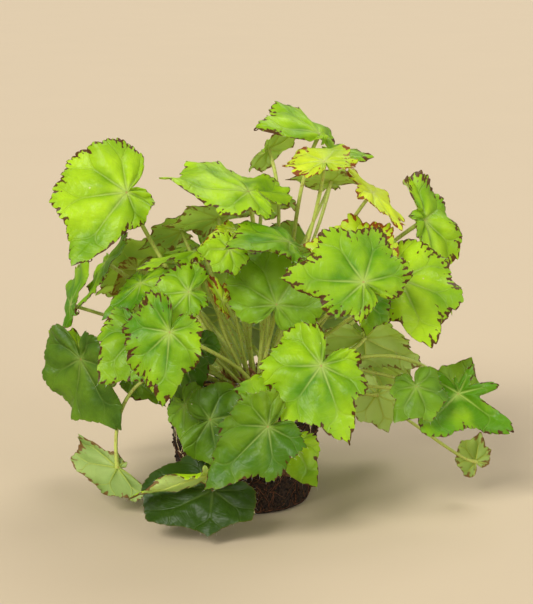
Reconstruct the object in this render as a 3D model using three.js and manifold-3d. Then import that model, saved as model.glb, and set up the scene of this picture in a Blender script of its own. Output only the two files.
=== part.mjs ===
// A rhizomatous begonia lifted out of its pot: a peat root ball, a knobbly
// rhizome lying in its top, and a dome of lobed leaves on bent stalks.
// Millimetres, +Z up. The origin is the centre of the root ball's base.

import * as THREE from 'three';
import { mergeVertices } from 'three/addons/utils/BufferGeometryUtils.js';
import Module from 'manifold-3d';

const wasm = await Module();
wasm.setup();

// ---------------------------------------------------------------- dimensions

const GAP = 0.35; // between two pieces that touch

const BALL = {
  height: 80,
  baseFlat: 45, // radius of the flat that it stands on
  baseRadius: 49,
  topRadius: 57,
  edge: 5, // rounded edge at the bottom
  shoulder: 4, // rounded edge at the top
  bulge: 0.3, // how near the middle of a rounded edge comes to its corner
  relief: 1.1, // bundles of roots down the side
  sides: 32,
  wallSteps: 5,
};

const CROWN = {
  centre: [10, -4],
  radius: 31,
  lobe: 1.2, // creeping branches swell the outline
  branches: 5,
  seat: 6, // width of the level peat round it
  sunk: 4, // depth in the peat
  rim: 1.5, // above the peat
  height: 9, // above the rim, at the middle
  steepness: 0.98, // of the side, where 1 ends upright
  knob: 1.3, // old leaf scars and buds
  sides: 20,
  shares: [0.95, 0.75, 0.4], // places of the rings on its top
};

const BLADE = {
  thickness: 0.8,
  notch: 9, // degrees left open between the two basal lobes
  sinus: 145, // degrees from the midrib to the notch
  tooth: 0.035, // of the leaf's length
  toothed: [0.02, 0.96], // from the tip (0) round to the notch (1)
  lobe: 0.05,
  lobes: [4, 3], // on the broad and the narrow half
  blend: 0.3, // how far from the tip or the notch a half gets its full shape
  ruffle: 0.045,
  bent: 6, // degrees that a blade curls and cups if nothing else is said
  inner: 0.56, // place of the inner ring of points
  narrowShare: 5 / 12, // of the points of the edge
};

// Points round the edge of a blade longer than this.
const EDGE_POINTS = [[62, 36], [42, 27], [0, 21]];

const STALK = {
  sides: 5,
  stepLength: 28,
  leastSteps: 4,
  radius: 1.2, // with no leaf to carry
  carry: 1 / 110, // more for each millimetre of the leaf
  thinnest: 1.3,
  thickest: 1.9,
  leave: 0.35, // share of the way over which it keeps its own lean
  arrive: 0.3, // share of the way over which it turns in to the blade
  square: 0.6, // how squarely it meets the blade
};

const SOCKET = {
  depth: 5,
  below: 1.3, // room under the stalk's end
  length: 14,
  clearance: 2.2 * GAP,
};

// Each ring of stalks leaves the crown at its own radius and lean.
const RINGS = [
  { radius: 4, count: 4, lean: 8 },
  { radius: 9.5, count: 9, lean: 18 },
  { radius: 15, count: 13, lean: 30 },
  { radius: 20.5, count: 15, lean: 42 },
  { radius: 26, count: 17, lean: 54 },
];
const SLOT_SHARE = 0.65; // the rest of a stalk's bearing is its leaf's own

// Radius over the leaf's length, from the tip (0) round to the notch (1).
const BROAD_SIDE = [
  [0, 1], [0.07, 0.86], [0.16, 0.79], [0.25, 0.8], [0.36, 0.75], [0.48, 0.73],
  [0.6, 0.68], [0.72, 0.65], [0.83, 0.59], [0.92, 0.47], [0.97, 0.28], [1, 0.08],
];
const NARROW_SIDE = [
  [0, 1], [0.09, 0.8], [0.19, 0.66], [0.3, 0.63], [0.45, 0.56], [0.6, 0.5],
  [0.75, 0.44], [0.88, 0.34], [0.96, 0.2], [1, 0.08],
];

const TONES = {
  bright: 0x93c238,
  young: 0xc6dc4a,
  dark: 0x5d8a2c,
  peat: 0x2b211b,
  rhizome: 0x7d7a45,
};

// ------------------------------------------------------------------- leaves
// at: where the stalk meets the blade. tip: the blade's tip.
// face: bearing and height of the upper side, in degrees. Bearing 0 is -Y and
// 90 is +X. side: 1 or -1, the hand of the blade's broad half. sinus: degrees
// from the midrib to the notch on the narrow half. wide: width over the usual.
// reach: how far the broad and the narrow half reach. lobes: how many each has.
// lobed: how deep they are.
// curl bends the blade along its length, cup across it, and fold creases it.
// rise: how far the stalk's lower half is lifted. bow: how far its upper half
// is pushed along X, Y and Z.

const LEAVES = [
  // the top of the dome
  {
    at: [-86, -10, 235], tip: [-125, -35, 186], face: [-8, 12], side: -1, sinus: 168,
    wide: 1.06, reach: [1, 0.62], curl: 12,
  },
  {
    at: [3, -28, 238], tip: [-60, -52, 249], face: [0, 70], side: -1, sinus: 150,
    cup: 10, bow: [14, 10, 0],
  },
  {
    at: [55, 12, 275], tip: [9, -13, 282], face: [-15, 50], side: -1, sinus: 150,
    reach: [1, 0.35], curl: 35, cup: 20, bow: [2, 6, 0],
  },
  { at: [17, 30, 262], tip: [46, 42, 278], face: [170, 55], side: 1, sinus: 150 },
  {
    at: [57, -46, 262], tip: [71, -10, 271], face: [0, 76], side: 1,
    wide: 1.3, reach: [0.8, 0.8], curl: 15, cup: 20, bow: [0, 10, 0], tone: 'young',
  },
  {
    at: [65, 45, 236], tip: [31, 42, 240], face: [180, 60], side: 1, sinus: 150,
    wide: 0.85, reach: [1.2, 1.2],
  },
  {
    at: [92, -25, 237], tip: [114, -41, 213], face: [70, 35], side: 1,
    wide: 0.9, reach: [1.3, 1.3], bow: [0, 10, 0], tone: 'young',
  },
  {
    at: [74, 75, 254], tip: [99, 77, 250], face: [0, 72], side: 1,
    wide: 1.2, cup: 20, bow: [0, 25, 0],
  },
  // the right shoulder
  {
    at: [135, 25, 209], tip: [153, 8, 139], face: [50, 5], side: 1,
    wide: 0.7, reach: [0.85, 0.6], fold: 20,
  },
  { at: [112, -45, 177], tip: [133, -75, 134], face: [20, 15], side: 1, wide: 1.05 },
  { at: [82, -105, 187], tip: [26, -115, 192], face: [0, 25], side: -1, sinus: 133, lobed: 2 },
  { at: [83, -54, 191], tip: [44, -42, 202], face: [5, 40], side: -1, wide: 1.3, tone: 'young' },
  // the middle
  {
    at: [23, -66, 163], tip: [47, -56, 199], face: [-5, 15], side: 1, sinus: 170,
    wide: 1.3, tone: 'dark',
  },
  {
    at: [32, -62, 207], tip: [-12, -100, 209], face: [-5, 60], side: -1,
    reach: [0.8, 0.8], curl: 30, cup: 15, bow: [0, 30, 5],
  },
  { at: [-10, -70, 204], tip: [-33, -75, 204], face: [-10, 25], side: 1, wide: 1.1 },
  { at: [-16, -55, 163], tip: [-27, -51, 182], face: [60, 10], side: 1, fold: 50, tone: 'young' },
  {
    at: [-7, -31, 211], tip: [-31, -44, 201], face: [-5, 40], side: 1,
    reach: [0.7, 0.7], tone: 'young',
  },
  { at: [-20, 4, 214], tip: [-60, -6, 210], face: [170, 52], side: 1, sinus: 150 },
  { at: [-32, -45, 129], tip: [-38, -50, 110], face: [0, 15], side: 1, tone: 'dark' },
  { at: [87, -70, 165], tip: [86, -80, 144], face: [5, 15], side: 1 },
  // the left shoulder
  { at: [-39, -65, 172], tip: [-64, -80, 146], face: [-12, 22], side: -1, wide: 0.85 },
  { at: [-51, -95, 150], tip: [-56, -105, 100], face: [-8, 18], side: -1, sinus: 165, wide: 0.88 },
  { at: [-74, -60, 143], tip: [-104, -75, 108], face: [-15, 25], side: 1, wide: 1.1, curl: 25 },
  {
    at: [-122, -15, 111], tip: [-93, -35, 61], face: [-45, 8], side: -1, sinus: 160,
    wide: 0.9, fold: 15, tone: 'dark',
  },
  { at: [-128, 28, 107], tip: [-149, 20, 125], face: [-20, 50], side: 1 },
  { at: [-131, 8, 147], tip: [-117, -2, 184], face: [-75, 5], side: 1, sinus: 150, reach: [1, 0.6] },
  { at: [-105, 15, 179], tip: [-124, -11, 145], face: [-75, 25], side: 1, wide: 0.7 },
  { at: [-84, 45, 167], tip: [-103, 36, 149], face: [170, 30], side: -1, tone: 'young' },
  { at: [-77, -8, 167], tip: [-105, -22, 143], face: [-30, 55], side: 1, wide: 0.7 },
  { at: [-49, 35, 199], tip: [-82, 30, 187], face: [180, 50], side: 1 },
  { at: [-35, -25, 194], tip: [-77, -40, 186], face: [175, 84], side: -1, cup: 35 },
  // low on the right
  {
    at: [123, -65, 103], tip: [107, -80, 81], face: [5, 22], side: 1, sinus: 133,
    wide: 1.1, lobed: 1.5, tone: 'dark',
  },
  {
    at: [156, -40, 91], tip: [196, -42, 63], face: [5, 30], side: -1,
    reach: [1.3, 1], lobed: 7, lobes: [2, 3], fold: 45, bow: [-20, 10, 50],
  },
  { at: [174, -10, 30], tip: [177, -12, 53], face: [170, 0], side: -1, fold: 50 },
  { at: [163, 20, 75], tip: [174, 30, 101], face: [10, 30], side: 1, tone: 'dark' },
  { at: [90, 8, 122], tip: [135, 25, 97], face: [170, 40], side: 1 },
  { at: [98, -20, 85], tip: [107, -20, 56], face: [180, 10], side: 1 },
  // low in front
  {
    at: [54, -95, 126], tip: [73, -120, 78], face: [3, 18], side: -1, sinus: 133,
    wide: 1.02, lobed: 1.5, bow: [0, 0, 10],
  },
  {
    at: [17, -122, 90], tip: [-25, -135, 50], face: [-5, 12], side: -1, sinus: 160,
    reach: [0.66, 1], lobed: 1.5, fold: 25, bow: [12, 0, -4],
  },
  {
    at: [36, -78, 65], tip: [51, -92, 37], face: [10, 20], side: -1,
    reach: [0.8, 0.8], wide: 1.2, rise: 12,
  },
  {
    at: [-24, -84, 84], tip: [14, -79, 89], face: [-12, 15], side: -1, sinus: 175,
    reach: [1.2, 1.2], tone: 'dark',
  },
  { at: [36, -88, 101], tip: [-7, -100, 110], face: [-5, 20], side: -1, reach: [0.75, 0.5] },
  {
    at: [-22, -95, 35], tip: [-25, -119, 10], face: [-5, 12], side: -1,
    wide: 1.35, reach: [1.5, 1.35], lobed: 0.5, tone: 'dark', rise: 28, bow: [0, 4, 15],
  },
  {
    at: [-24, -113, 53], tip: [-81, -104, 35], face: [180, 62], side: -1,
    reach: [0.5, 0.6], rise: 28, bow: [10, 15, -25],
  },
  // low on the left
  {
    at: [-95, -30, 31], tip: [-126, -8, 50], face: [180, -50], side: -1,
    wide: 0.55, reach: [1.4, 0.7], rise: 10, bow: [-20, 15, 60],
  },
  { at: [-43, -64, 89], tip: [-44, -70, 61], face: [-30, 10], side: 1, tone: 'dark' },
  { at: [-44, -50, 115], tip: [-53, -50, 87], face: [-30, 10], side: 1, tone: 'dark' },
  { at: [-84, 5, 90], tip: [-60, -5, 72], face: [-10, 75], side: 1, tone: 'dark' },
  // the back
  { at: [-70, 80, 170], tip: [-95, 115, 115], face: [-145, 25], side: 1, sinus: 150 },
  { at: [-34, 102, 172], tip: [-40, 140, 115], face: [180, 25], side: -1 },
  { at: [54, 92, 171], tip: [74, 132, 119], face: [150, 25], side: 1 },
  { at: [112, 72, 145], tip: [150, 98, 100], face: [120, 25], side: -1 },
  { at: [-75, 85, 125], tip: [-85, 118, 75], face: [-125, 20], side: 1 },
  {
    at: [-16, 98, 120], tip: [-22, 134, 62], face: [-172, 15], side: -1,
    wide: 1.3, tone: 'dark',
  },
  { at: [52, 115, 112], tip: [62, 145, 50], face: [175, 15], side: 1, tone: 'dark' },
  { at: [95, 85, 90], tip: [125, 110, 35], face: [140, 15], side: -1 },
  { at: [12, 55, 220], tip: [15, 105, 198], face: [180, 60], side: 1 },
  { at: [-118, 58, 84], tip: [-136, 74, 46], face: [-135, 10], side: -1, tone: 'dark' },
];

// ------------------------------------------------------------------ helpers

const { clamp, degToRad, lerp, smoothstep } = THREE.MathUtils;
const vec = (v) => new THREE.Vector3(...v);

function bearing(azimuth, elevation) {
  const a = degToRad(azimuth);
  const e = degToRad(elevation);
  return new THREE.Vector3(Math.sin(a) * Math.cos(e), -Math.cos(a) * Math.cos(e), Math.sin(e));
}

function interpolate(table, u) {
  const next = table.findIndex(([at]) => at >= u);
  if (next <= 0) return table[0][1];
  const [u0, r0] = table[next - 1];
  const [u1, r1] = table[next];
  return lerp(r0, r1, (u - u0) / (u1 - u0));
}

function closedMesh(points, triangles) {
  const geometry = new THREE.BufferGeometry();
  const numbers = points.flatMap((p) => [p.x, p.y, p.z]);
  geometry.setAttribute('position', new THREE.Float32BufferAttribute(numbers, 3));
  geometry.setIndex(triangles.flat());
  return geometry;
}

function solid(geometry) {
  const bare = geometry.clone();
  bare.deleteAttribute('normal');
  bare.deleteAttribute('uv');
  const merged = mergeVertices(bare, 1e-4);
  return new wasm.Manifold(new wasm.Mesh({
    numProp: 3,
    vertProperties: new Float32Array(merged.attributes.position.array),
    triVerts: new Uint32Array(merged.index.array),
  }));
}

function geometryOf(body) {
  const { vertProperties, triVerts } = body.getMesh();
  const geometry = new THREE.BufferGeometry();
  geometry.setAttribute('position', new THREE.BufferAttribute(vertProperties, 3));
  geometry.setIndex(new THREE.BufferAttribute(triVerts, 1));
  return geometry;
}

// Rings of equally many points, closed by a point at each end, lowest first.
function ringedBody(bottom, rings, top) {
  const count = rings[0].length;
  const points = [bottom, ...rings.flat(), top];
  const last = points.length - 1;
  const triangles = [];
  for (let i = 0; i < count; i += 1) {
    const j = (i + 1) % count;
    triangles.push([0, 1 + j, 1 + i]);
    for (let ring = 0; ring < rings.length - 1; ring += 1) {
      const low = 1 + ring * count;
      const high = low + count;
      triangles.push([low + i, low + j, high + j], [low + i, high + j, high + i]);
    }
    triangles.push([last - count + i, last - count + j, last]);
  }
  return closedMesh(points, triangles);
}

function ring(count, place) {
  return Array.from({ length: count }, (_, i) => place((i / count) * 2 * Math.PI));
}

// -------------------------------------------------------------- root ball

const crownOutline = (angle) => CROWN.radius + CROWN.lobe * Math.cos(CROWN.branches * angle + 1);

function crownRing(sides, share, z, clearance = 0) {
  const [cx, cy] = CROWN.centre;
  return ring(sides, (angle) => {
    const r = share * crownOutline(angle) + clearance;
    return new THREE.Vector3(cx + r * Math.cos(angle), cy + r * Math.sin(angle), z(angle, r));
  });
}

function ballRelief(angle, z) {
  const bundles = Math.sin(11 * angle + z / 9) + 0.6 * Math.sin(17 * angle - z / 6);
  const lean = 0.5 * Math.sin(5 * angle);
  return BALL.relief * (bundles + lean) * smoothstep(z, 0, 2 * BALL.edge);
}

function ballRing(radius, z) {
  return ring(BALL.sides, (angle) => {
    const r = radius + ballRelief(angle, z);
    return new THREE.Vector3(r * Math.cos(angle), r * Math.sin(angle), z);
  });
}

function rootBall() {
  const { height, baseFlat, baseRadius, topRadius, edge, shoulder, bulge, sides, wallSteps } = BALL;
  const rings = [ballRing(baseFlat, 0), ballRing(lerp(baseRadius, baseFlat, bulge), bulge * edge)];
  for (let i = 0; i <= wallSteps; i += 1) {
    const share = i / wallSteps;
    rings.push(ballRing(lerp(baseRadius, topRadius, share), lerp(edge, height - shoulder, share)));
  }
  rings.push(ballRing(topRadius - bulge * shoulder, height - bulge * shoulder));
  rings.push(ballRing(topRadius - shoulder, height));
  rings.push(crownRing(sides, 1, () => height, CROWN.seat));
  rings.push(crownRing(sides, 1, () => height, 2 * GAP));
  rings.push(crownRing(sides, 1, () => height - CROWN.sunk, 2 * GAP));
  const floor = new THREE.Vector3(...CROWN.centre, height - CROWN.sunk);
  return ringedBody(new THREE.Vector3(0, 0, 0), rings, floor);
}

// ---------------------------------------------------------------- rhizome

function crownTop(angle, r) {
  const share = Math.min(r / crownOutline(angle), 1);
  const knobs = Math.sin(3 * angle + r / 3) * Math.cos(5 * angle - r / 4);
  const dome = CROWN.height * Math.sqrt(1 - CROWN.steepness * share ** 2);
  return BALL.height + CROWN.rim + dome + CROWN.knob * knobs * share;
}

function rhizome(sockets) {
  const bottom = BALL.height - CROWN.sunk + GAP;
  const rings = [
    crownRing(CROWN.sides, 1, () => bottom),
    crownRing(CROWN.sides, 1, () => BALL.height),
  ];
  for (const share of CROWN.shares) {
    rings.push(crownRing(CROWN.sides, share, crownTop));
  }
  const [cx, cy] = CROWN.centre;
  const top = new THREE.Vector3(cx, cy, crownTop(0, 0));
  const body = solid(ringedBody(new THREE.Vector3(cx, cy, bottom), rings, top));
  return geometryOf(sockets.reduce((rest, hole) => rest.subtract(hole), body));
}

// ------------------------------------------------------------------ blades

function leafFrame(leaf) {
  const at = vec(leaf.at);
  const chord = vec(leaf.tip).sub(at);
  const reach = chord.length();
  chord.normalize();
  const up = bearing(...leaf.face);
  up.addScaledVector(chord, -up.dot(chord)).normalize();
  const half = degToRad(leaf.curl ?? BLADE.bent) / 2;
  const x = chord.clone().multiplyScalar(Math.cos(half)).addScaledVector(up, Math.sin(half));
  const z = up.clone().multiplyScalar(Math.cos(half)).addScaledVector(chord, -Math.sin(half));
  const y = z.clone().cross(x);
  const length = (reach * half) / Math.sin(half);
  return { at, x, y, z, length, curl: (2 * half) / length };
}

// Bends a flat strip so that it follows an arc, and keeps its thickness.
function bend(along, height, curvature) {
  if (Math.abs(curvature) < 1e-6) return [along, height];
  const radius = 1 / curvature;
  const turn = curvature * along;
  return [(radius + height) * Math.sin(turn), (radius + height) * Math.cos(turn) - radius];
}

function bladePoint(leaf, frame, seed, angle, radius, share, height) {
  const { length } = frame;
  const wave = Math.sin(5 * angle + seed) + 0.5 * Math.sin(9 * angle + 2 * seed);
  let x = radius * Math.cos(angle);
  let y = radius * Math.sin(angle) * (leaf.wide ?? 1);
  let z = height + BLADE.ruffle * length * share ** 3 * wave;
  const crease = degToRad(leaf.fold ?? 0) / 2;
  z += Math.abs(y) * Math.sin(crease);
  y *= Math.cos(crease);
  [y, z] = bend(y, z, degToRad(leaf.cup ?? BLADE.bent) / length);
  [x, z] = bend(x, z, frame.curl);
  const point = frame.at.clone();
  return point.addScaledVector(frame.x, x).addScaledVector(frame.y, y).addScaledVector(frame.z, z);
}

// Angle and radius of each point of the edge, anticlockwise from above.
function bladeEdge(leaf, length, count) {
  const narrow = leaf.sinus ?? BLADE.sinus;
  const broad = 360 - BLADE.notch - narrow;
  const narrowCount = Math.round(count * BLADE.narrowShare);
  const [first, last] = BLADE.toothed;
  const edge = [];
  for (let i = 0; i < count; i += 1) {
    const onNarrow = i < narrowCount;
    const u = onNarrow ? 1 - i / narrowCount : (i - narrowCount) / (count - 1 - narrowCount);
    const lobes = (leaf.lobes ?? BLADE.lobes)[onNarrow ? 1 : 0];
    const upDown = i % 2 === narrowCount % 2 ? 1 : -1;
    const toothed = u > first && u < last ? BLADE.tooth * upDown : 0;
    const depth = (BLADE.lobe / 2) * (leaf.lobed ?? 1) * smoothstep(1 - u, 0, BLADE.blend);
    const lobed = depth * (Math.cos(2 * Math.PI * lobes * u) - 1);
    const reach = lerp(1, (leaf.reach ?? [1, 1])[onNarrow ? 1 : 0], smoothstep(u, 0, BLADE.blend));
    const usual = interpolate(onNarrow ? NARROW_SIDE : BROAD_SIDE, u);
    const radius = length * reach * (usual + toothed + lobed);
    edge.push({ angle: degToRad(onNarrow ? -u * narrow : u * broad), radius });
  }
  if (leaf.side > 0) return edge;
  return edge.map(({ angle, radius }) => ({ angle: -angle, radius })).reverse();
}

// Share of the way out to point i where the inner ring crosses its line. It stays
// inside the neighbours too, where the edge turns in to the notch.
function innerShare(edge, i) {
  const near = [-2, -1, 0, 1, 2].map((k) => edge[(i + k + edge.length) % edge.length].radius);
  return (BLADE.inner * Math.min(...near)) / edge[i].radius;
}

function blade(leaf, seed) {
  const frame = leafFrame(leaf);
  const [, count] = EDGE_POINTS.find(([over]) => frame.length > over);
  const edge = bladeEdge(leaf, frame.length, count);
  const inner = count / 3;
  const place = ({ angle, radius }, share, side) => (
    bladePoint(leaf, frame, seed, angle, radius * share, share, (side * BLADE.thickness) / 2));
  const points = [];
  for (const side of [1, -1]) {
    points.push(...edge.map((point) => place(point, 1, side)));
    for (let i = 0; i < count; i += 3) points.push(place(edge[i], innerShare(edge, i), side));
    points.push(place({ angle: 0, radius: 0 }, 0, side));
  }
  const face = count + inner + 1;
  const triangles = [];
  for (let i = 0; i < inner; i += 1) {
    const [a, b] = [count + i, count + ((i + 1) % inner)];
    const [p, q, r, s] = [3 * i, 3 * i + 1, 3 * i + 2, (3 * i + 3) % count];
    for (const [u, v, w] of [[a, p, q], [a, q, b], [b, q, r], [b, r, s], [face - 1, a, b]]) {
      triangles.push([u, v, w], [face + u, face + w, face + v]);
    }
  }
  for (let i = 0; i < count; i += 1) {
    const j = (i + 1) % count;
    triangles.push([i, face + i, face + j], [i, face + j, j]);
  }
  return closedMesh(points, triangles);
}

// ------------------------------------------------------------------ stalks

const leafBearing = ({ at: [x, y] }) => Math.atan2(y - CROWN.centre[1], x - CROWN.centre[0]);

function leafLean({ at: [x, y, z] }) {
  return Math.atan2(Math.hypot(x - CROWN.centre[0], y - CROWN.centre[1]), z - BALL.height);
}

// The most upright leaves grow from the inner rings, the rest further out.
function stalkRoots() {
  const order = LEAVES.map((_, i) => i).sort((a, b) => leafLean(LEAVES[a]) - leafLean(LEAVES[b]));
  const roots = [];
  let first = 0;
  for (const { radius, count, lean } of RINGS) {
    const members = order.slice(first, first + count);
    members.sort((a, b) => leafBearing(LEAVES[a]) - leafBearing(LEAVES[b]));
    const step = (2 * Math.PI) / members.length;
    const bearings = members.map((i) => leafBearing(LEAVES[i]));
    const turn = bearings.reduce((sum, b, k) => sum + b - k * step, 0) / members.length;
    members.forEach((leaf, k) => {
      const angle = lerp(bearings[k], turn + k * step, SLOT_SHARE);
      const exit = new THREE.Vector3(
        CROWN.centre[0] + radius * Math.cos(angle),
        CROWN.centre[1] + radius * Math.sin(angle),
        crownTop(angle, radius),
      );
      const tilt = degToRad(lean);
      const out = Math.sin(tilt);
      const direction = new THREE.Vector3(out * Math.cos(angle), out * Math.sin(angle), Math.cos(tilt));
      roots[leaf] = { start: exit.addScaledVector(direction, -SOCKET.depth), direction };
    });
    first += count;
  }
  return roots;
}

function stalkCurve(leaf, root) {
  const { at, z: up } = leafFrame(leaf);
  const reach = at.distanceTo(root.start);
  const outward = at.clone().sub(root.start).normalize();
  const bow = vec(leaf.bow ?? [0, 0, 0]);
  const first = root.start.clone().addScaledVector(root.direction, STALK.leave * reach);
  first.z += leaf.rise ?? 0;
  const arrival = outward.lerp(up, STALK.square);
  const second = at.clone().addScaledVector(arrival, -STALK.arrive * reach).add(bow);
  return new THREE.CubicBezierCurve3(root.start, first, second, at);
}

function rod(curve, radius, steps) {
  const outline = ring(STALK.sides, (a) => new THREE.Vector2(radius * Math.cos(a), radius * Math.sin(a)));
  const settings = { steps, extrudePath: curve, bevelEnabled: false };
  return new THREE.ExtrudeGeometry(new THREE.Shape(outline), settings);
}

function stalkRadius(leaf) {
  const radius = STALK.radius + STALK.carry * vec(leaf.at).distanceTo(vec(leaf.tip));
  return clamp(radius, STALK.thinnest, STALK.thickest);
}

function stalkSteps(curve) {
  return Math.max(STALK.leastSteps, Math.round(curve.getLength() / STALK.stepLength));
}

function socket(curve, radius) {
  const start = curve.getPointAt(0);
  const along = curve.getPointAt(1 / stalkSteps(curve)).sub(start).normalize();
  const bottom = start.clone().addScaledVector(along, -SOCKET.below);
  const mouth = start.clone().addScaledVector(along, SOCKET.length);
  return solid(rod(new THREE.LineCurve3(bottom, mouth), radius + SOCKET.clearance, 1));
}

// ---------------------------------------------------------------- assembly

const plant = new THREE.Group();
plant.name = 'begonia';

function add(name, geometry, color, roughness) {
  const material = new THREE.MeshStandardMaterial({ color, roughness, metalness: 0 });
  const mesh = new THREE.Mesh(geometry, material);
  mesh.name = name;
  plant.add(mesh);
}

const roots = stalkRoots();
const curves = LEAVES.map((leaf, i) => stalkCurve(leaf, roots[i]));

const sockets = LEAVES.map((leaf, i) => socket(curves[i], stalkRadius(leaf)));

add('root_ball', rootBall(), TONES.peat, 1);
add('rhizome', rhizome(sockets), TONES.rhizome, 0.85);

LEAVES.forEach((leaf, i) => {
  const stalk = solid(rod(curves[i], stalkRadius(leaf), stalkSteps(curves[i])));
  const name = `leaf_${String(i + 1).padStart(2, '0')}`;
  add(name, geometryOf(solid(blade(leaf, i)).add(stalk)), TONES[leaf.tone ?? 'bright'], 0.5);
});

export default plant;
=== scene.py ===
"""A rhizomatous begonia lifted out of its pot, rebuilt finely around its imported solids.

Each blade is a waved and toothed sheet on its own stalk. Hairs, papery scales, crumbs of peat and
roots are grown on the pieces by Geometry Nodes. Lengths here are millimetres, and a mesh turns to
metres as it is made. +Z is up, and the origin is the centre of the root ball's base.
"""

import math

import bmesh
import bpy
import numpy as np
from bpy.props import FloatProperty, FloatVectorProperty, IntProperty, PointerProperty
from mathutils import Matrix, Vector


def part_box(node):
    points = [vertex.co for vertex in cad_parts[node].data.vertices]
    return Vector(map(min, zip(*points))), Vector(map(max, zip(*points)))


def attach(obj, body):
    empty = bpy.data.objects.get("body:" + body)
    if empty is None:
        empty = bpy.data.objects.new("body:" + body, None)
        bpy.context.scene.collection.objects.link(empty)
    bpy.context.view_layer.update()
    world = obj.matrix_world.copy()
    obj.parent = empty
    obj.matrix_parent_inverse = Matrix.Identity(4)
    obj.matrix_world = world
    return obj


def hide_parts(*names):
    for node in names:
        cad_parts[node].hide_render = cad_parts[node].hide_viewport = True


bl_info = {
    "name": "Begonia on its root ball",
    "version": (1, 0, 0),
    "blender": (4, 5, 0),
    "location": "View3D > Sidebar > Begonia",
    "description": "Builds a rhizomatous begonia with its leaves, rhizome and peat root ball",
    "category": "Add Mesh",
}

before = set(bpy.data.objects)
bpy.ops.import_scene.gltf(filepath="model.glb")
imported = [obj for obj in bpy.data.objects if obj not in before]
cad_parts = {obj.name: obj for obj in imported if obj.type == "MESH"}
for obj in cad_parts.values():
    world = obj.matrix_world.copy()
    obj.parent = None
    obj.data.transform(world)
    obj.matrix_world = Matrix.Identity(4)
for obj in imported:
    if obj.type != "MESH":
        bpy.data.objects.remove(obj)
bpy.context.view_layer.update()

MM = 0.001

# ---------------------------------------------------------------- leaf rows
# Millimetres and degrees. at: where the stalk meets the blade. tip: the blade's tip. face: bearing
# and height of the upper side, where bearing 0 is -Y and 90 is +X. side: 1 or -1, the hand of the
# broad half. sinus: from the midrib to the notch on the narrow half. wide: width over the usual.
# reach: how far the broad and the narrow half reach. lobes: how many each has. lobed: their depth.
# curl bends the blade along its length, cup across it, and fold creases it. rise lifts the lower
# half of the stalk, and bow pushes its upper half along X, Y and Z. marks: how much of the margin
# is blotched. teeth: their depth over the usual. tint: lighter above 0, deeper below, partly the
# leaf's own tone and partly painted light and shade. dim: painted shade on a blade that lies in
# shade. hook: the tip has withered to a thread.

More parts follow.
